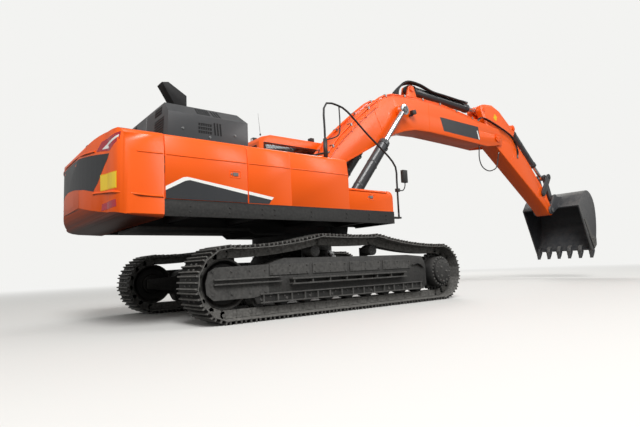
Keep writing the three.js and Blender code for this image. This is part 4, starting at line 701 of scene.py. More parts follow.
def film(name, node, outlines, out, material, lift=1.5, tile=60):
    """Thin sheets laid on a solid. An outline is x, z when seen along y, and y, z seen along x."""
    part = Maker()
    sheets = [[(a, 0, b) if out[1] else (0, a, b) for a, b in outline] for outline in outlines]
    for sheet in sheets:
        part.mesh.faces.new([part.mesh.verts.new(p) for p in sheet])
    for axis in (0 if out[1] else 1, 2):
        unit = Vector([float(k == axis) for k in range(3)])
        values = [p[axis] for sheet in sheets for p in sheet]
        for k in range(int(min(values) // tile) + 1, int(max(values) // tile) + 1):
            whole = [*part.mesh.verts, *part.mesh.edges, *part.mesh.faces]
            bmesh.ops.bisect_plane(part.mesh, geom=whole, plane_co=unit * k * tile, plane_no=unit)
    for v in part.mesh.verts:
        hit, normal = touch(node, v.co, out)
        v.co = hit + normal * lift
    if sum(f.normal.dot(Vector(out)) for f in part.mesh.faces) < 0:
        bmesh.ops.reverse_faces(part.mesh, faces=part.mesh.faces)
    bmesh.ops.triangulate(part.mesh, faces=part.mesh.faces)
    piece = part.done(name, home(node), material, 0)
    piece.data.shade_flat()
    solid = piece.modifiers.new("film", "SOLIDIFY")
    solid.thickness, solid.offset = lift * 0.9 * MM, -1


for node in ("boom", "counterweight"):
    high = touch(node, ((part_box(node)[0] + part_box(node)[1]) / 2 - SWING) / MM, TOP)[0]
    print(node, "top at", round(high.z), "mm above the ground")

# %% [markdown]
# The track frame is a box of thick plate between the two runs. Bolted covers close it, a ribbed
# guard keeps stones off the rollers, and a ledge gives a foot its first step up. The final drive
# and each roller end in a bolted cap.

# %% Track frame trim
FRAME_FACE = TRACK_Y + 170
DRIVE = (2130, 500)
COVERS = ((-1500, -830), (-760, -100), (-30, 630), (700, 1370))
IDLER_GUARD = [(-2425, 380), (-2440, 520), (-2400, 660), (-2300, 715), (-1520, 735), (-1520, 345),
               (-1760, 300), (-2330, 300)]
HUB_BOLTS = (("sprocket", 243, 24, 12), ("sprocket", 175, 12, 11), ("sprocket", 90, 3, 17))
INNER_BOLTS = (("sprocket", 288, 20, 13), ("idler", 62, 6, 11))


def track_frame_trim(side, word):
    part, node = Maker(), f"track_frame_{word}"
    out, inward = (0, side, 0), (0, -side, 0)

    def bar_across(x, near, far, z):
        part.block(x, sorted((side * (FRAME_FACE + near), side * (FRAME_FACE + far))), z)

    for left, right in COVERS:
        bar_across((left, right), -4, 14, (585, 735))
        xs = (left + 40, (left + right) / 2, right - 40)
        part.bolts([(x, side * (FRAME_FACE + 14), z) for x in xs for z in (610, 710)], out, 11)
    # the ledge is two rails on eight brackets
    for z in (455, 525):
        bar_across((-1180, 1180), -4, 95, (z - 10, z + 10))
    for k in range(8):
        x = -1140 + 325 * k
        bar_across((x - 10, x + 10), -4, 85, (440, 540))
    # a plate guards the idler, and two rails close the ribs below into a ladder
    part.plate(IDLER_GUARD, side * (FRAME_FACE - 6), side * (FRAME_FACE + 12))
    spots = [(x, side * (FRAME_FACE + 12), z) for x in (-2350, -2080, -1810, -1580) for z in (370, 660)]
    part.bolts(spots, out, 13)
    for z in (500, 560):
        bar_across((-2340, -1330), 6, 62, (z - 9, z + 9))
    for z in (226, 340):
        bar_across((-1660, 1640), -20, 34, (z - 9, z + 9))
    for k in range(15):
        x = -1610 + 230 * k
        rib = [(x - 12, 222), (x + 12, 222), (x + 12, 334), (x - 12, 334)]
        part.plate(rib, side * (FRAME_FACE - 20), side * (FRAME_FACE + 26))
    part.bolts(seat(node, [(-1495 + 230 * k, 0, 300) for k in range(14)], out), out, 12)
    for x in CARRIERS:
        part.bolts(seat(node, ring((x, 0, 905), 45, 5), out), out, 8)
    part.bolts(seat(node, [(-1640 + 410 * k, 0, 262) for k in range(9)], out), out, 17)
    part.tube([(x, side * (FRAME_FACE + 20), z) for x, z in ((1420, 640), (1560, 660), (1700, 590))], 16)
    part.done(f"track_frame_trim_{word}", UNDER, track_frame_black, 2.5)

    hubs = Maker()
    for circles, way in ((HUB_BOLTS, out), (INNER_BOLTS, inward)):
        for wheel, r, count, bolt_r in circles:
            centre = (DRIVE[0] if wheel == "sprocket" else -DRIVE[0], 0, DRIVE[1])
            hubs.bolts(seat(f"{wheel}_{word}", ring(centre, r, count), way), way, bolt_r)
    hubs.done(f"hub_bolts_{word}", UNDER, track_steel, 1.0)


for side, word in SIDES:
    track_frame_trim(side, word)

# %% [markdown]
# The car body ties the two frames together. A ring of high-tensile bolts holds the swing bearing
# down to it and up to the machine above, and steel pipes carry oil from the centre joint to the
# drives.

# %% Car body and bearing
DRIVE_PIPE = ((300, 200, 700), (640, 330, 700), (1010, 700, 640), (1340, 1040, 610), (1560, 1195, 600))

centre = Maker()
centre.bolts(seat("swing_bearing", ring((0, 0, 900), 655, 40, "z"), DOWN), DOWN, 14)
centre.bolts(seat("car_body", ring((0, 0, 1500), 740, 36, "z"), TOP), TOP, 15)
for face in (1, -1):
    front = touch("car_body", (0, 0, 620), (face, 0, 0))[0].x
    centre.block(sorted((front - face * 6, front + face * 14)), (-230, 230), (530, 720))
    spots = [(front + face * 14, y, z) for y in (-195, 0, 195) for z in (560, 690)]
    centre.bolts(spots, (face, 0, 0), 13)
for side in (1, -1):
    for drop in (0, 60):
        centre.tube([(x, side * y, z - drop) for x, y, z in DRIVE_PIPE], 19)
centre.done("car_body_trim", UNDER, chassis_black, 1.5)

ring_bolts = Maker()
ring_bolts.bolts(seat("revolving_frame", ring((0, 0, 1160), 725, 40, "z"), DOWN), DOWN, 13)
ring_bolts.done("upper_ring_bolts", UPPER, chassis_black, 1.0)

# %% [markdown]
# The counterweight is one casting, painted like the rest. Films and reflectors are stuck to its
# curved tail, two eyes take the crane hooks, and cast ribs break the big surface above and below.
# All its labels are left blank.

# %% Counterweight
BAND = [(0, 2196), (-500, 2182), (-820, 2160), (-1240, 2118), (-1120, 1960), (-1000, 1790), (-900, 1700),
        (-650, 1755), (-300, 1800), (0, 1812)]
FLASH = [(-965, 2185), (-1075, 2285), (-1450, 2345), (-1432, 2255), (-1260, 2148)]
ARROW = [(-1085, 2190), (-1195, 2240), (-1430, 2312), (-1424, 2285), (-1215, 2213), (-1235, 2180)]
REFLECTOR = [(-1090, 1440), (-1100, 1520), (-1390, 1550), (-1400, 1465)]
SIGN = [(-1060, 1680), (-1050, 1880), (-1400, 1880), (-1400, 1680)]
PANELS = [[(-1068, 1690), (-1060, 1870), (-1222, 1870), (-1222, 1690)],
          [(-1232, 1690), (-1232, 1870), (-1390, 1870), (-1390, 1690)]]
pale_vinyl = finish("pale_sign_yellow", "#F7D23A", 0.4, dust=0.05)


def mirrored(outline):
    return [(-a, b) for a, b in outline]


for name, outlines, vinyl, lift in (
        ("tail_band", [BAND + mirrored(BAND[1:-1])[::-1]], charcoal_vinyl, 1.5),
        ("tail_flashes", [FLASH, mirrored(FLASH)], red_reflector, 1.5),
        ("tail_arrows", [ARROW, mirrored(ARROW)], white_vinyl, 2.6),
        ("tail_reflectors", [REFLECTOR, mirrored(REFLECTOR)], red_reflector, 2.5),
        ("tail_sign", [SIGN], yellow_vinyl, 1.8),
        ("tail_sign_border", PANELS, pale_vinyl, 2.6)):
    film(name, "counterweight", outlines, REAR, vinyl, lift)

CAST = "counterweight"
EYE = ((0, -70, -8), (0, -62, 70), (0, 0, 108), (0, 62, 70), (0, 70, -8))

casting = Maker()
for side in (1, -1):
    brow = [(-3700, side * y, z) for y, z in ((5, 2222), (300, 2219), (650, 2208), (930, 2196))]
    casting.tube(seat(CAST, brow, REAR), 13)
    tail = [(-3700, side * y, z) for y, z in ((900, 1672), (1150, 1655), (1400, 1630))]
    flank = [(x, 0, z) for x, z in ((-3260, 1606), (-3100, 1596), (-2940, 1592))]
    casting.tube([*seat(CAST, tail, REAR), *seat(CAST, flank, (0, side, 0))], 15)
    hook = touch(CAST, (-3270, side * 900, 0), TOP)[0]
    casting.tube([hook + Vector(p) for p in EYE], 22, 14)
    casting.bar(hook - up(5), hook + up(9), 112, 104, 28)
casting.done("counterweight_castings", UPPER, casting_enamel_shaded_below, 2)

rear = Maker()
spots = [(x, y, 0) for x in (-3050, -3420) for y in (-420, -140, 140, 420)]
rear.bolts(seat(CAST, spots, TOP), TOP, 24)
lens = touch("rear_camera", (-3400, 200, 2505), REAR)[0]
rear.bar(lens - Vector((4, 0, 0)), lens + Vector((-14, 0, 0)), 26, 22)
rear.tube([(-3330, 200, 2465), (-3250, 205, 2420), (-3150, 210, 2396), (-2950, 210, 2398)], 9)
rear.done("counterweight_bolts", UPPER, chassis_black, 1)
print("lifting eye at", [round(v) for v in hook])

# %% [markdown]
# Side doors are pressed from 3 mm sheet. A fold stiffens them, and a paddle latch sits in a dished
# pocket. The film along their foot is laid across two panels, so it is cut where the gap is.

# %% Doors, latches and their film
FILM_TOP = [(-2910, 1723), (-2690, 1848), (-2640, 1860), (-2560, 1850)]
FILL_TOP = [(-2910, 1674), (-2665, 1806), (-2600, 1822)]
FILMS = (
    ("pump_door", RIGHT, white_vinyl, [(-2910, 1574), *FILM_TOP, (-1780, 1736), (-1780, 1574)]),
    ("hydraulic_tank", RIGHT, white_vinyl, [(-1760, 1640), (-1760, 1733), (-1360, 1672), (-1400, 1630)]),
    ("pump_door", RIGHT, charcoal_vinyl, [(-2910, 1574), *FILL_TOP, (-1780, 1687), (-1780, 1574)]),
    ("hydraulic_tank", RIGHT, charcoal_vinyl, [(-1760, 1574), (-1760, 1690), (-1398, 1634), (-1440, 1574)]),
    ("radiator_door", LEFT, white_vinyl, [(-2910, 1574), *FILM_TOP, (-1360, 1672), (-1400, 1630),
                                          (-1446, 1574)]),
    ("radiator_door", LEFT, charcoal_vinyl, [(-2910, 1574), *FILL_TOP, (-1398, 1634), (-1440, 1574)]))
LATCHES = (("pump_door", -1960, 1950, -1), ("radiator_door", -1440, 1950, 1), ("battery_door", -520, 1950, 1),
           ("toolbox", 560, 1790, -1))
FOLD = 2122
FOLDS = (("pump_door", -2900, -1788, -1), ("hydraulic_tank", -1752, -1062, -1), ("fuel_tank", -1040, 62, -1),
         ("radiator_door", -2900, -1278, 1), ("battery_door", -1242, -378, 1),
         ("counterweight", -3250, -2940, -1), ("counterweight", -3250, -2940, 1))


def latch(node, x, z, side):
    spot = touch(node, (x, 0, z), (0, side, 0))[0]
    dish, paddle = Maker(), Maker()
    corners = [spot + Vector(p) for p in ((-78, 0, -44), (78, 0, -44), (78, 0, 44), (-78, 0, 44))]
    for a, b in zip(corners, [*corners[1:], corners[0]]):
        dish.bar(a, b, 5, sides=8)
    dish.done(f"{node}_latch_dish", home(node), orange_enamel, 0)
    y = sorted((spot.y - side * 2, spot.y + side * 9))
    paddle.block((x - 38, x + 40), y, (z - 22, z + 24))
    paddle.bar(spot + Vector((-58, 0, 0)), spot + Vector((-58, side * 6, 0)), 12)
    paddle.done(f"{node}_latch", home(node), zinc_bolt, 2)


for node, out, vinyl, outline in FILMS:
    film(f"{node}_{vinyl.name}", node, [outline], out, vinyl, 1.2 if vinyl is white_vinyl else 2.2, 200)
for row in LATCHES:
    latch(*row)
# the panels are folded outwards along one line, and the fold stands a few millimetres proud
for node, x0, x1, side in FOLDS:
    fold = Maker()
    fold.tube(seat(node, [(x, 0, FOLD) for x in (x0, (x0 + x1) / 2, x1)], (0, side, 0)), 8)
    fold.done(f"{node}_fold_{'left' if side > 0 else 'right'}", home(node), orange_enamel, 0)
print("folds stand at", FOLD, "mm on", len(FOLDS), "panels")

# %% [markdown]
# The skirts are bolted to the deck, and each door hangs on two barrels welded to the frame behind
# it. The radiator's door is ribbed, since a big flat sheet drums.

# %% Hinges, deck bolts and ribs
DECK_BOLTS = ((-1, (-2600, -2050, -1550, -1350, -700, 0, 500, 900)), (1, (-2600, -2050, -1500, -900, -300)))

hinges = Maker()
for x, side in ((-2905, -1), (-2905, 1), (-1245, 1)):
    for z in (1935, 2055):
        hinges.bar((x, side * 1480, z - 45), (x, side * 1480, z + 45), 13)
for side, xs in DECK_BOLTS:
    spots = [(x, 0, z) for x in xs for z in (1425, 1495)]
    hinges.bolts(seat("revolving_frame", spots, (0, side, 0)), (0, side, 0), 11)
hinges.done("deck_bolts", UPPER, chassis_black, 1)

ribs = Maker()
for k in range(15):
    ends = [(-2740 + 10 * (k % 2), 0, 1960 + 22 * k), (-1700, 0, 1960 + 22 * k)]
    ribs.bar(*seat("radiator_door", ends, LEFT), 6.5, sides=8)
ribs.done("radiator_door_louvres", "radiator_door", orange_enamel, 0)
print("deck bolts on both sides:", 2 * sum(len(xs) for _, xs in DECK_BOLTS))

# %% [markdown]
# The engine needs air, so its hood is pierced. Slots are punched in rows and each has a small lip over it
# that throws the rain off. Each slot is drawn as a near-black film laid on the hood: painted shade where the
# dark inside would show. Bright screws hold the hood's lining.

# %% Hood
def slot(x, z, wide, high, lean=0):
    return [(x, z), (x + wide, z), (x + wide - lean, z + high), (x - lean, z + high)]


COLUMNS, SLITS = range(-2235, -2030, 35), (-1990, -1945, -1900)
GRILLE = [slot(x, z, 26, 34) for x in COLUMNS for z in (2625, 2680, 2735)]
GRILLE += [slot(x, 2620, 26, 180, 14) for x in SLITS]
GRILLE += [slot(x, z, 26, 16, 6) for x in COLUMNS for z in (2905, 2935, 2965, 2995)]
GRILLE += [slot(x, 2895, 28, 113, 20) for x in SLITS]
REAR_SLOTS = [slot(-800, 2560, 370, 280), slot(-700, 2900, 270, 105)]
# the slots are near-black films of painted shade, not openings
for name, node, outlines, out in (("hood_slots_right", "engine_hood", GRILLE, RIGHT),
                                  ("hood_slots_left", "machinery_house", GRILLE, LEFT),
                                  ("hood_rear_slots", "engine_hood", REAR_SLOTS, REAR),
                                  ("house_rear_slots", "machinery_house", map(mirrored, REAR_SLOTS), REAR)):
    film(name, node, list(outlines), out, slot_shade, 1.0)


def hood_trim(node, side):
    lips, screws, out = Maker(), Maker(), (0, side, 0)
    for (x, _), _, (x_end, top), _ in GRILLE:
        lips.bar(*seat(node, [(a, 0, top + 4) for a in (x - 2, x_end + 2)], out), 5, sides=8)
    for z, far in [(z, 800) for z in range(2575, 2840, 38)] + [(2925, 700), (2965, 700)]:
        lips.bar(*seat(node, [(-2700, side * y, z) for y in (430, far)], REAR), 8, sides=8)
    lips.done(f"hood_lips_{node}", home(node), charcoal_enamel, 0)
    spots = [(-2463, 0, 2658), (-2061, 0, 2580), (-1660, 0, 2658)]
    screws.bolts(seat(node, spots, out), out, 15)
    screws.done(f"hood_screws_{node}", home(node), zinc_bolt, 1)


hood_trim("engine_hood", -1)
hood_trim("machinery_house", 1)
print("slots on each side:", len(GRILLE))

# %% [markdown]
# On top there are things a driver uses every day: filler caps with a bar to turn them by, gritty
# pads to stand on, and lifting handles. A clamp holds the exhaust pipe.

# %% Roof of the house
CAPS = (("fuel_tank", -640, -1080, 78), ("hydraulic_tank", -1420, -1060, 92))
STACK = Vector((-2045, 250, 3034))          # where the exhaust leaves the hood


tops = Maker()
for node, x, y, r in CAPS:
    spot = touch(node, (x, y, 0), TOP)[0]
    tops.bar(spot - up(3), spot + up(12), r + 26, sides=32)
    tops.bar(spot, spot + up(52), r, r - 5, 28)
    tops.bolts(ring(spot + up(12), r + 13, 8, "z"), TOP, 7)
    tops.bar(spot + Vector((-r * 0.8, 0, 58)), spot + Vector((r * 0.8, 0, 58)), 10)
for x in (-1180, -700):
    spot = touch("centre_cover", (x, -100, 0), TOP)[0]
    tops.tube([spot + Vector(p) for p in ((0, -110, -4), (0, -100, 48), (0, 100, 48), (0, 110, -4))], 9)
for node, xs, ys in (("centre_cover", (-1330, -935, -540), (-590, 440)),
                     ("hydraulic_tank", (-1700, -1110), (-1300, -860))):
    tops.bolts(seat(node, [(x, y, 0) for x in xs for y in ys], TOP), TOP, 11)
tops.done("filler_caps", UPPER, chassis_black, 1.5)

pads = Maker()
for x in ((-960, -760), (-420, -60)):
    z = touch("fuel_tank", (sum(x) / 2, -1000, 0), TOP)[0].z
    pads.block(x, (-1330, -720), (z - 2, z + 5))
pads.done("walkway_pads", UPPER, grip_coat, 1)
step = Maker()
z = touch("toolbox_lid", (500, -1000, 0), TOP)[0].z
for k in range(4):
    step.block((180 + 150 * k, 290 + 150 * k), (-1330, -780), (z - 2, z + 5))
step.done("toolbox_lid_pads", "toolbox_lid", grip_coat, 1)

pipe = Maker()
pipe.bar(STACK + up(52), STACK + up(84), 86, sides=32)
pipe.bar(STACK, STACK + up(18), 118, sides=32)
pipe.bar(STACK + Vector((0, -100, 68)), STACK + Vector((0, -85, 68)), 12)
pipe.bolts(ring(STACK + up(18), 102, 6, "z"), TOP, 9)
pipe.done("exhaust_clamp", UPPER, scorched_steel, 1.5)

rails = Maker()
foot = touch("handrail_right", (-240, -1330, 0), DOWN)[0]
rails.block((-295, -185), (-1372, -1288), (foot.z, foot.z + 12))
rails.bolts([(-240 + a, -1330 + b, foot.z + 12) for a in (-38, 38) for b in (-26, 26)], TOP, 8)
rails.done("handrail_foot", UPPER, chassis_black, 1)
print("handrail stands at", round(foot.z), "mm, toolbox top at", round(z), "mm")

# %% [markdown]
# A cab is a box of tube and pressed sheet with rubber-held glass. The seals, the wiper, the door's
# handle and the hatch in the roof give it its scale.

# %% Cab outside
CAB_Y = (middle("operator_seat").y - SWING.y) / MM


def border(part, node, corners, out):
    spots = seat(node, [(a, 0, b) if out[1] else (0, a, b) for a, b in corners], out)
    for a, b in zip(spots, [*spots[1:], spots[0]]):
        part.bar(a, b, 11, sides=10)


def oblong(low, high, bottom, top):
    return [(low, bottom), (high, bottom), (high, top), (low, top)]


seals, door_seal = Maker(), Maker()
for corners, out in ((oblong(-235, 1395, 2105, 3105), RIGHT), (oblong(-245, 365, 2235, 3105), LEFT),
                     (oblong(632, 1383, 2417, 3053), REAR), (oblong(600, 1415, 1706, 3104), FRONT)):
    border(seals, "cab_shell", corners, out)
seals.done("cab_window_seals", UPPER, seal_rubber, 0)
border(door_seal, "cab_door", oblong(496, 1414, 2006, 3044), LEFT)
door_seal.done("door_window_seal", "cab_door", seal_rubber, 0)

handle = Maker()
grip = touch("cab_door", (1340, 0, 1900), LEFT)[0]
handle.block((grip.x - 70, grip.x + 70), (grip.y - 2, grip.y + 7), (grip.z - 38, grip.z + 38))
handle.block((grip.x - 52, grip.x + 44), (grip.y + 5, grip.y + 18), (grip.z - 12, grip.z + 14))
handle.done("door_handles", "cab_door", moulded_plastic, 1)

wiper = Maker()
low, bend, high = seat("windscreen", [(0, 720, 1790), (0, 900, 2330), (0, 1000, 2800)], FRONT)
wiper.bar(low + Vector((2, 0, 0)), low + Vector((40, 0, 0)), 24)
wiper.tube([low + Vector((36, 0, 0)), bend + Vector((34, 0, 0)), high + Vector((20, 0, -260))], 8)
wiper.bar(bend + Vector((9, 70, 60)), high + Vector((9, 0, 0)), 9, sides=8)
wiper.done("windscreen_wiper", UPPER, seal_rubber, 0.5)

roof = Maker()
z = touch("cab_shell", (700, CAB_Y, 0), TOP)[0].z
roof.block((420, 980), (CAB_Y - 280, CAB_Y + 280), (z - 4, z + 24))
roof.block((460, 940), (CAB_Y - 240, CAB_Y + 240), (z + 20, z + 34))
for y in (CAB_Y - 330, CAB_Y + 330):
    roof.tube([(x, y, touch("cab_shell", (x, y, 0), TOP)[0].z + 2) for x in (-180, 200, 700, 1200)], 12)
roof.done("cab_roof_hatch", UPPER, orange_enamel, 6)
small_things = Maker()
small_things.tube([(860, CAB_Y + d, z + h) for d, h in ((-90, 30), (-80, 70), (80, 70), (90, 30))], 8)
small_things.bar((-250, 640, z - 6), (-250, 640, z + 24), 16)
small_things.bar((-250, 640, z + 20), (-290, 640, z + 430), 4, 2, 8)
small_things.done("antenna_and_roof_handle", UPPER, moulded_plastic, 0.5)
print("cab roof at", round(z), "mm above the ground")

# %% [markdown]
# A work lamp is a reflector behind a moulded lens. The lens sits a little above the middle of its
# housing, because the bracket is below.

# %% Lamps
LENS_RISE, LENS_R = 0.12, 0.30              # shares of the housing's size


def lamp_face(node, out, body):
    low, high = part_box(node)
    centre = (low + high) / 2 + up((high.z - low.z) * LENS_RISE)
    spot = touch(node, MACHINE.inverted() @ centre, out)[0]
    r = min(high.y - low.y, high.z - low.z) / MM * LENS_R
    face = Maker()
    face.bar(spot - Vector(out) * 3, spot + Vector(out) * 5, r, r * 0.93, 24)
    face.done(f"{node}_lens", body, lamp_lens, 1)
    print(node, "lens", round(2 * r), "mm across")


lamp_face("work_lamp_front", FRONT, UPPER)
lamp_face("work_lamp_rear", REAR, UPPER)
lamp_face("boom_lamp", FRONT, "boom")

# %% [markdown]
# Foam is moulded, then covered, and the seams pull it in. This one is a rounded box pressed by
# code: a fifth-power rounding gives the full shape, two grooves are the sewn seams, and a little
# noise stands for slack cloth. Through the glass one also sees the mat, the pedals and the monitor.

# %% Seat, mat, pedals and monitor
SEAM_AT, SEAM_WIDE, SEAM_DEEP, SLACK = 0.52, 0.05, 0.13, 0.03      # shares of the half size


def cushion(name, centre, size, lean):
    mesh = bmesh.new()
    bmesh.ops.create_cube(mesh, size=2)
    bmesh.ops.subdivide_edges(mesh, edges=mesh.edges, cuts=14, use_grid_fill=True)
    turn = Matrix.Translation(centre) @ Matrix.Rotation(math.radians(lean), 4, "Y")
    for v in mesh.verts:
        p = v.co / sum(abs(c) ** 5 for c in v.co) ** 0.2
        seam = math.exp(-((abs(p.y) - SEAM_AT) / SEAM_WIDE) ** 2)
        p.z *= 1 - SEAM_DEEP * seam + SLACK * noise.noise(p * 2.6)
        v.co = turn @ Vector((p.x * size[0], p.y * size[1], p.z * size[2]))
    part = Maker()
    part.mesh.free()
    part.mesh = mesh
    part.done(name, UPPER, seat_cloth, 0, 60)


base = touch("operator_seat", (330, CAB_Y, 0), TOP)[0]
cushion("seat_base_cushion", base + Vector((10, 0, 28)), (235, 245, 52), -4)
back = touch("operator_seat", (0, CAB_Y, base.z + 330), FRONT)[0]
cushion("seat_back_cushion", back + Vector((14, 0, 0)), (300, 235, 45), -78)
print("seat", [round(v) for v in base], [round(v) for v in back])

inside = Maker()
for y in (-75, 75):
    knob = Vector((1060, CAB_Y + y * 1.2, 2060))
    inside.bar((1130, CAB_Y + y, 1690), knob, 9)
    inside.bar(knob, knob + Vector((-2, 0, 50)), 20, 16)
    inside.plate([(1110, 1700), (1290, 1760), (1284, 1774), (1104, 1714)], CAB_Y + y - 48, CAB_Y + y + 48)
inside.block((1296, 1330), (620, 800), (2190, 2340))
inside.bar((1330, 700, 2265), (1385, 600, 2240), 12)
inside.block((660, 900), (CAB_Y - 360, CAB_Y + 360), (1643, 1652))
inside.done("cab_controls", UPPER, moulded_plastic, 2)
screen = Maker()
screen.block((1293, 1297), (632, 788), (2202, 2328))
screen.done("monitor_screen", UPPER, finish("dark_display_glass", "#0A0D10", 0.1, coat=0.5, dust=0.02), 1)

# the right mirror looks in at the driver, and the left one looks back
mirrors = Maker()
spot = touch("mirror_right", (1545, 0, 2245), LEFT)[0]
mirrors.block((1497, 1593), (spot.y - 1, spot.y + 3), (2145, 2345))
spot = touch("mirror_left", (1700, 1600, 2600), REAR)[0]
mirrors.block((spot.x - 3, spot.x + 1), (1468, 1622), (2395, 2705))
mirrors.done("mirror_faces", UPPER, mirror_glass, 0.5)

# %% [markdown]
# Every pin is kept from turning by a bolted cap. The cap goes where a ray along the pin first
# meets the steel, on whichever piece that is.

# %% Pin caps
def spot(where, x, y, z):
    """A point of a boom, arm or bucket, in the machine's millimetres."""
    return MACHINE.inverted() @ where @ Vector((x, y, z))


ARM_EAR, BUCKET_FOOT, ROCKER_PIN, LINK_PIN = (-780, 340), (700, 1060), (2720, 200), (2760, 860)
BOOM_CYL_FOOT, BOOM_CYL_PIN, ARM_CYL_PIN = (790, 1550), (2965, 1100), (3802, 1607)


def pin(where, at):
    return spot(where, at[0], 0, at[1])


def cap(node, x, z, r, where, tone, side):
    at = touch(node, spot(where, x, 0, z), (0, side, 0))[0]
    part, out = Maker(), Vector((0, side, 0))
    part.bar(at - out * 3, at + out * 9, r, sides=28)
    part.bar(at, at + out * 15, r * 0.55, r * 0.5, 24)
    part.bolts([p + out * 9 for p in ring(at, r * 0.77, 6)], out, max(7, r * 0.13))
    part.done(f"{node}_cap_{round(x)}_{'left' if side > 0 else 'right'}", home(node), tone, 1.5)


for side, word in SIDES:
    for row in (("boom", BOOM_LENGTH, 0, 118, BOOM, orange_enamel),
                ("revolving_frame", 220, 2150, 105, MACHINE, chassis_black),
                (f"boom_rod_{word}", *BOOM_CYL_PIN, 74, BOOM, cylinder_grey),
                (f"boom_cylinder_{word}", *BOOM_CYL_FOOT, 66, MACHINE, cylinder_grey),
                ("boom", *ARM_CYL_PIN, 62, BOOM, orange_enamel),
                ("arm", *ARM_EAR, 60, ARM, orange_enamel),
                ("arm", *BUCKET_FOOT, 56, ARM, orange_enamel),
                ("bucket_rocker", *ROCKER_PIN, 58, ARM, charcoal_enamel),
                ("bucket_rocker", *LINK_PIN, 54, ARM, charcoal_enamel),
                ("bucket", ARM_LENGTH, 0, 66, ARM, bucket_paint)):
        cap(*row, side)
print("arm cylinder, pin to pin:", round((pin(ARM, ARM_EAR) - pin(BOOM, ARM_CYL_PIN)).length), "mm")

# %% [markdown]
# A boom is four long plates welded into a box. The seams show as beads just inside its edges, and
# where the plates change thickness a bead crosses the side.

# %% Boom and arm welds
BOOM_TOP = [(625, 490), (1038, 779), (1724, 1117), (2458, 1425), (2640, 1468), (2900, 1475), (3637, 1351),
            (4529, 1110), (5268, 833), (6072, 515)]
BOOM_BELLY = [(6150, -150), (5410, 77), (4805, 256), (3884, 525), (3368, 640), (3005, 655), (2690, 639),
              (1783, 437), (1087, 288)]
ARM_BACK = [(3080, 210), (2850, 330), (2250, 420), (1600, 530), (1000, 585)]
BOOM_HALF, ARM_HALF = 270, 209


BOOM_BEADS = ((BOOM_TOP, -26), (BOOM_BELLY, 26), ([(2300, 640), (2180, 1280)], 0),
              ([(3900, 560), (4080, 1200)], 0))
ARM_BEADS = ((ARM_BACK, -24), ([(900, -60), (1010, 560)], 0), ([(2480, 0), (2520, 350)], 0))
PLATE = [(4241, 4131), (5821, 4127), (5864, 3784), (4358, 3802)]
SLASH = [(5745, 4020), (5790, 4020), (5856, 3792), (5808, 3792)]
ARM_SIGN = ((-330, 470), (-190, 470), (-190, 620), (-330, 620))

for node, where, half, beads in (("boom", BOOM, BOOM_HALF, BOOM_BEADS), ("arm", ARM, ARM_HALF, ARM_BEADS)):
    welds = Maker(where)
    for side in (1, -1):
        for points, drop in beads:
            welds.tube([(x, side * (half - 1), z + drop) for x, z in points], 5.5, 8)
    welds.done(f"{node}_welds", node, orange_enamel, 0)
    print(node, "beads:", 2 * len(beads))

for out, word in ((RIGHT, "right"), (LEFT, "left")):
    film(f"boom_plate_{word}", "boom", [PLATE], out, charcoal_vinyl, 2.0, 300)
    film(f"boom_plate_stripe_{word}", "boom", [SLASH], out, white_vinyl, 3.0, 300)
    corners = [pin(ARM, at) for at in ARM_SIGN]
    film(f"arm_sign_{word}", "arm", [[(p.x, p.z) for p in corners]], out, yellow_vinyl, 2.0, 300)

# %% [markdown]
# Oil reaches the cylinders through steel pipes where nothing bends, clamped to the plate every
# 0.6 m, and through rubber hoses where something does. Pipes are painted with the boom.

# %% Pipes on the boom and the arm
def along(points, x):
    """The height of a line of points at x."""
    (xa, za), (xb, zb) = next(p for p in zip(points, points[1:]) if (p[0][0] - x) * (p[1][0] - x) <= 0)
    return za + (zb - za) * (x - xa) / (xb - xa)


def pipe_run(name, body, where, points, xs, lanes, lift, r):
    pipes, clamps = Maker(where), Maker(where)
    for y in lanes:
        pipes.tube([(x, y, along(points, x) + lift) for x in xs], r)
    low, high = min(lanes) - r - 12, max(lanes) + r + 12
    for x in range(round(xs[0]) + 150, round(xs[-1]), CLAMP_STEP):
        z, top = along(points, x), along(points, x) + lift + r + 8
        clamps.block((x - 22, x + 22), (low, high), (z - 6, top))
        clamps.bolts([(x, (low + high) / 2, top)], TOP, 9)
    pipes.done(f"{name}_pipes", body, orange_enamel, 0)
    clamps.done(f"{name}_clamps", body, zinc_bolt, 2)


CLAMP_STEP = 620
LANES, PIPE_LIFT = (196, 250), 25
BOOM_XS = (660, 1038, 1724, 2458, 2700, 2900, 3300, 3637, 4100, 4529, 4900, 5268, 5700, 6020)
FLANK = [(x, z - 75) for x, z in BOOM_TOP]
for side, word in SIDES:
    lanes = [side * y for y in LANES]
    pipe_run(f"boom_{word}", "boom", BOOM, BOOM_TOP, BOOM_XS, lanes, PIPE_LIFT, 17)
    side_pipe = Maker(BOOM)
    side_pipe.tube([(x, side * 284, along(FLANK, x)) for x in (640, 1038, 1724, 2300)], 12)
    for x in (900, 1400, 1900):
        z = along(FLANK, x)
        side_pipe.block((x - 16, x + 16), sorted((side * 268, side * 299)), (z - 26, z + 26))
    side_pipe.done(f"boom_side_pipe_{word}", "boom", orange_enamel, 1)
pipe_run("arm", "arm", ARM, sorted(ARM_BACK), (1040, 1300, 1600, 1900, 2230), (-178, -138), 28, 12)
print("boom pipes run", BOOM_XS[-1] - BOOM_XS[0], "mm along the boom")

# %% [markdown]
# A cylinder is a honed tube with a screwed gland at its mouth. The gland has a ring of bolts, oil
# comes in at both ends, and a pipe strapped to the barrel feeds the far one.

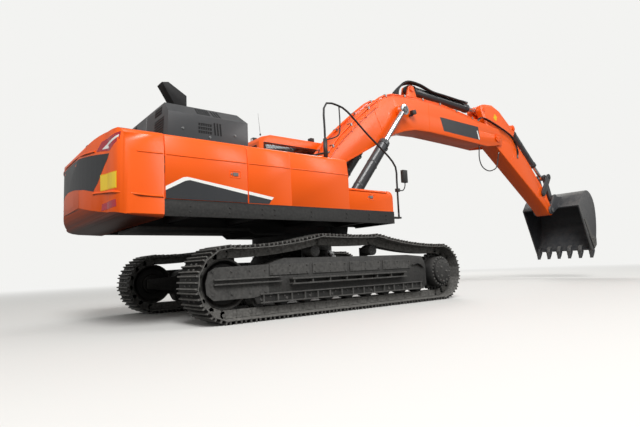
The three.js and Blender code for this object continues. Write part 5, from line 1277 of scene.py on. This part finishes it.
# %% Cylinder fittings
def cylinder_fittings(node, start, end, y, barrel, r, turn):
    """start and end are the pins' centres, barrel the tube's length, and turn says which side is outward."""
    part = Maker()
    start, end = Vector((start.x, y, start.z)), Vector((end.x, y, end.z))
    ahead = (end - start).normalized()
    away = Vector((-ahead.z, 0, ahead.x)) * turn
    face = start + ahead * (barrel - 22)
    part.bar(start + ahead * (barrel - 95), face, r + 13, sides=36)
    for k in range(12):
        a = 2 * math.pi * k / 12
        part.bolt(face + (away * math.cos(a) + Vector((0, 1, 0)) * math.sin(a)) * (r + 1), ahead, 9)
    part.bar(start + ahead * 190, start + ahead * 235, r + 9, sides=36)
    near, far = start + ahead * 210, start + ahead * (barrel - 60)
    for port in (near, far):
        part.bar(port + away * (r - 5), port + away * (r + 48), 24, 21, 6)
    line = [near + away * (r + 40), near + away * (r + 44) + ahead * 50, near + away * (r + 26) + ahead * 150,
            far + away * (r + 26) - ahead * 150, far + away * (r + 44) - ahead * 50, far + away * (r + 40)]
    part.tube(line, 12)
    for share in (0.4, 0.7):
        strap = start + ahead * barrel * share
        part.bar(strap - ahead * 16, strap + ahead * 16, r + 4, sides=36)
        part.bar(strap + away * (r + 26) - ahead * 14, strap + away * (r + 26) + ahead * 14, 19, sides=10)
    part.done(f"{node}_fittings", node, cylinder_grey, 1.5)


for side, word in SIDES:
    cylinder_fittings(f"boom_cylinder_{word}", pin(MACHINE, BOOM_CYL_FOOT), pin(BOOM, BOOM_CYL_PIN),
                      side * 400, 2120, 105, -1)
cylinder_fittings("arm_cylinder", pin(BOOM, ARM_CYL_PIN), pin(ARM, ARM_EAR), 0, 2300, 105, 1)
cylinder_fittings("bucket_cylinder", pin(ARM, BUCKET_FOOT), pin(ARM, LINK_PIN), 0, 1540, 85, 1)
print("boom cylinder, pin to pin:",
      round((pin(BOOM, BOOM_CYL_PIN) - pin(MACHINE, BOOM_CYL_FOOT)).length), "mm")

# %% [markdown]
# A hose is two layers of steel braid in rubber, so it bends in wide curves only.


def hose(name, points, r, near, far, free=True):
    """A hose from one body to another. One that is strapped down along its way is not free."""
    bodies = (near, far, MACHINE @ Vector(points[0]), MACHINE @ Vector(points[-1]))
    part, ends = Maker(), Maker()
    part.tube(points, r, 12)
    piece = part.done(name, bodies, hose_rubber, 0, 60)
    path = [MACHINE @ p for p in smooth_line(points)]
    sum((b - a).length for a, b in zip(path, path[1:]))
    if free:
        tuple(path[0])
    for a, b in ((points[0], points[1]), (points[-1], points[-2])):
        a, b = Vector(a), Vector(b)
        way = (b - a).normalized()
        ends.bar(a - way * 30, a + way * 55, r * 1.25, sides=16)
        ends.bar(a - way * 34, a - way * 8, r * 1.6, sides=6)
    ends.done(f"{name}_fittings", bodies, zinc_bolt, 1)


def pipe_end(x):
    return spot(BOOM, x, 0, along(BOOM_TOP, x) + PIPE_LIFT)


end, tip = pipe_end(BOOM_XS[0]), pipe_end(BOOM_XS[-1])
for side, word in SIDES:
    for lane, dy in enumerate(LANES):
        loop = [(-300 + 30 * lane, side * 420, 1990), (-290 + 20 * lane, side * 395, 2280),
                (-60, side * 330, 2570), (320, side * (dy + 30), 2735), (end.x, side * dy, end.z)]
        hose(f"boom_foot_hose_{word}_{lane}", loop, 17, UPPER, "boom")
for side, word in SIDES:
    for lane, dy in enumerate(LANES):
        loop = [(tip.x, side * dy, tip.z), (tip.x + 330, side * (dy + 26), tip.z + 130 - 20 * lane),
                (7290, side * (dy + 40), 4190 - 30 * lane), (7640, side * (dy + 24), 4020 - 60 * lane),
                (7800 - 30 * lane, side * 235, 3740 - 40 * lane), (7790 - 20 * lane, side * 214, 3560)]
        hose(f"arm_hose_{word}_{lane}", loop, 15, "boom", "arm")
start, end = touch("boom", (5950, -180, 0), DOWN)[0], touch("arm", (6920, -150, 0), DOWN)[0]
belly = [start, (5905, -183, 3330), (6000, -188, 3110), (6250, -190, 3020), (6520, -182, 3070),
         (6740, -165, 3200), end]
hose("arm_belly_loop", belly, 14, "boom", "arm")
foot, ear = pin(BOOM, ARM_CYL_PIN), pin(ARM, ARM_EAR)
way = (ear - foot).normalized()
for lane in range(4):
    y = -30 - 44 * lane
    over = [(2700 + 40 * lane, y - 60, 4330), (2900, y - 50, 4560 + 12 * lane),
            (3230, y - 20, 4800 + 10 * lane), (3700, y, 4905 - 14 * lane)]
    over += [foot + way * d + Vector((0, y, 150 - 26 * lane)) for d in (700, 1200, 1700, 2080)]
    hose(f"arm_cylinder_hose_{lane}", over, 24, "boom", "arm_cylinder", False)

# %% [markdown]
# A digging bucket wears out, so the places that wear are made to be changed. Strips are welded
# across its back, cutters stand on its cheeks, and each tooth sits on an adapter held by a pin.

# %% Bucket
BUCKET_BACK = [(200, 1255), (420, 1345), (700, 1320), (1000, 1150), (1250, 930), (1460, 690), (1610, 450)]
BUCKET_HALF, TEETH = 880, 6
CHEEK = [(640, 345), (1600, 240), (1640, 300), (1560, 400), (660, 420)]
CUTTER = [(1180, 250), (1640, 215), (1640, 420), (1480, 560), (1300, 440)]
LIP = (1645, 250)


def bucket_trim():
    part, edges = Maker(BUCKET), Maker(BUCKET)
    for (xa, za), (xb, zb) in zip(BUCKET_BACK, BUCKET_BACK[1:]):
        a, b = Vector((xa, 0, za)), Vector((xb, 0, zb))
        out = Vector((za - zb, 0, xb - xa)).normalized()
        low, high = (touch("bucket", a.lerp(b, t), out, BUCKET)[0] for t in (0.3, 0.7))
        strip = [low - out * 4, high - out * 4, high + out * 15, low + out * 15]
        part.plate([(p.x, p.z) for p in strip], 40 - BUCKET_HALF, BUCKET_HALF - 40)
    for side in (1, -1):
        out = (0, side, 0)
        y = touch("bucket", (1300, 0, 500), out, BUCKET)[0].y
        edges.plate(CHEEK, y - side * 4, y + side * 18)
        edges.plate(CUTTER, y + side * 14, y + side * 34)
        edges.bolts([(x, y + side * 34, z) for x, z in ((1350, 330), (1480, 330), (1480, 450))], out, 20)
    for k in range(TEETH):
        y = -BUCKET_HALF + 60 + (2 * BUCKET_HALF - 120) * k / (TEETH - 1)
        for out in (TOP, DOWN):
            at = touch("bucket", (LIP[0], y, LIP[1]), out, BUCKET)[0]
            edges.block((1590, 1700), (y - 44, y + 44), sorted((at.z - out[2] * 8, at.z + out[2] * 9)))
            edges.bolt(at + Vector(out) * 9, out, 15)
    part.done("bucket_wear_strips", "bucket", bucket_paint, 3)
    edges.done("bucket_cutters", "bucket", cutting_steel, 3)


bucket_trim()
print("pieces and solids:", len(bpy.data.meshes))
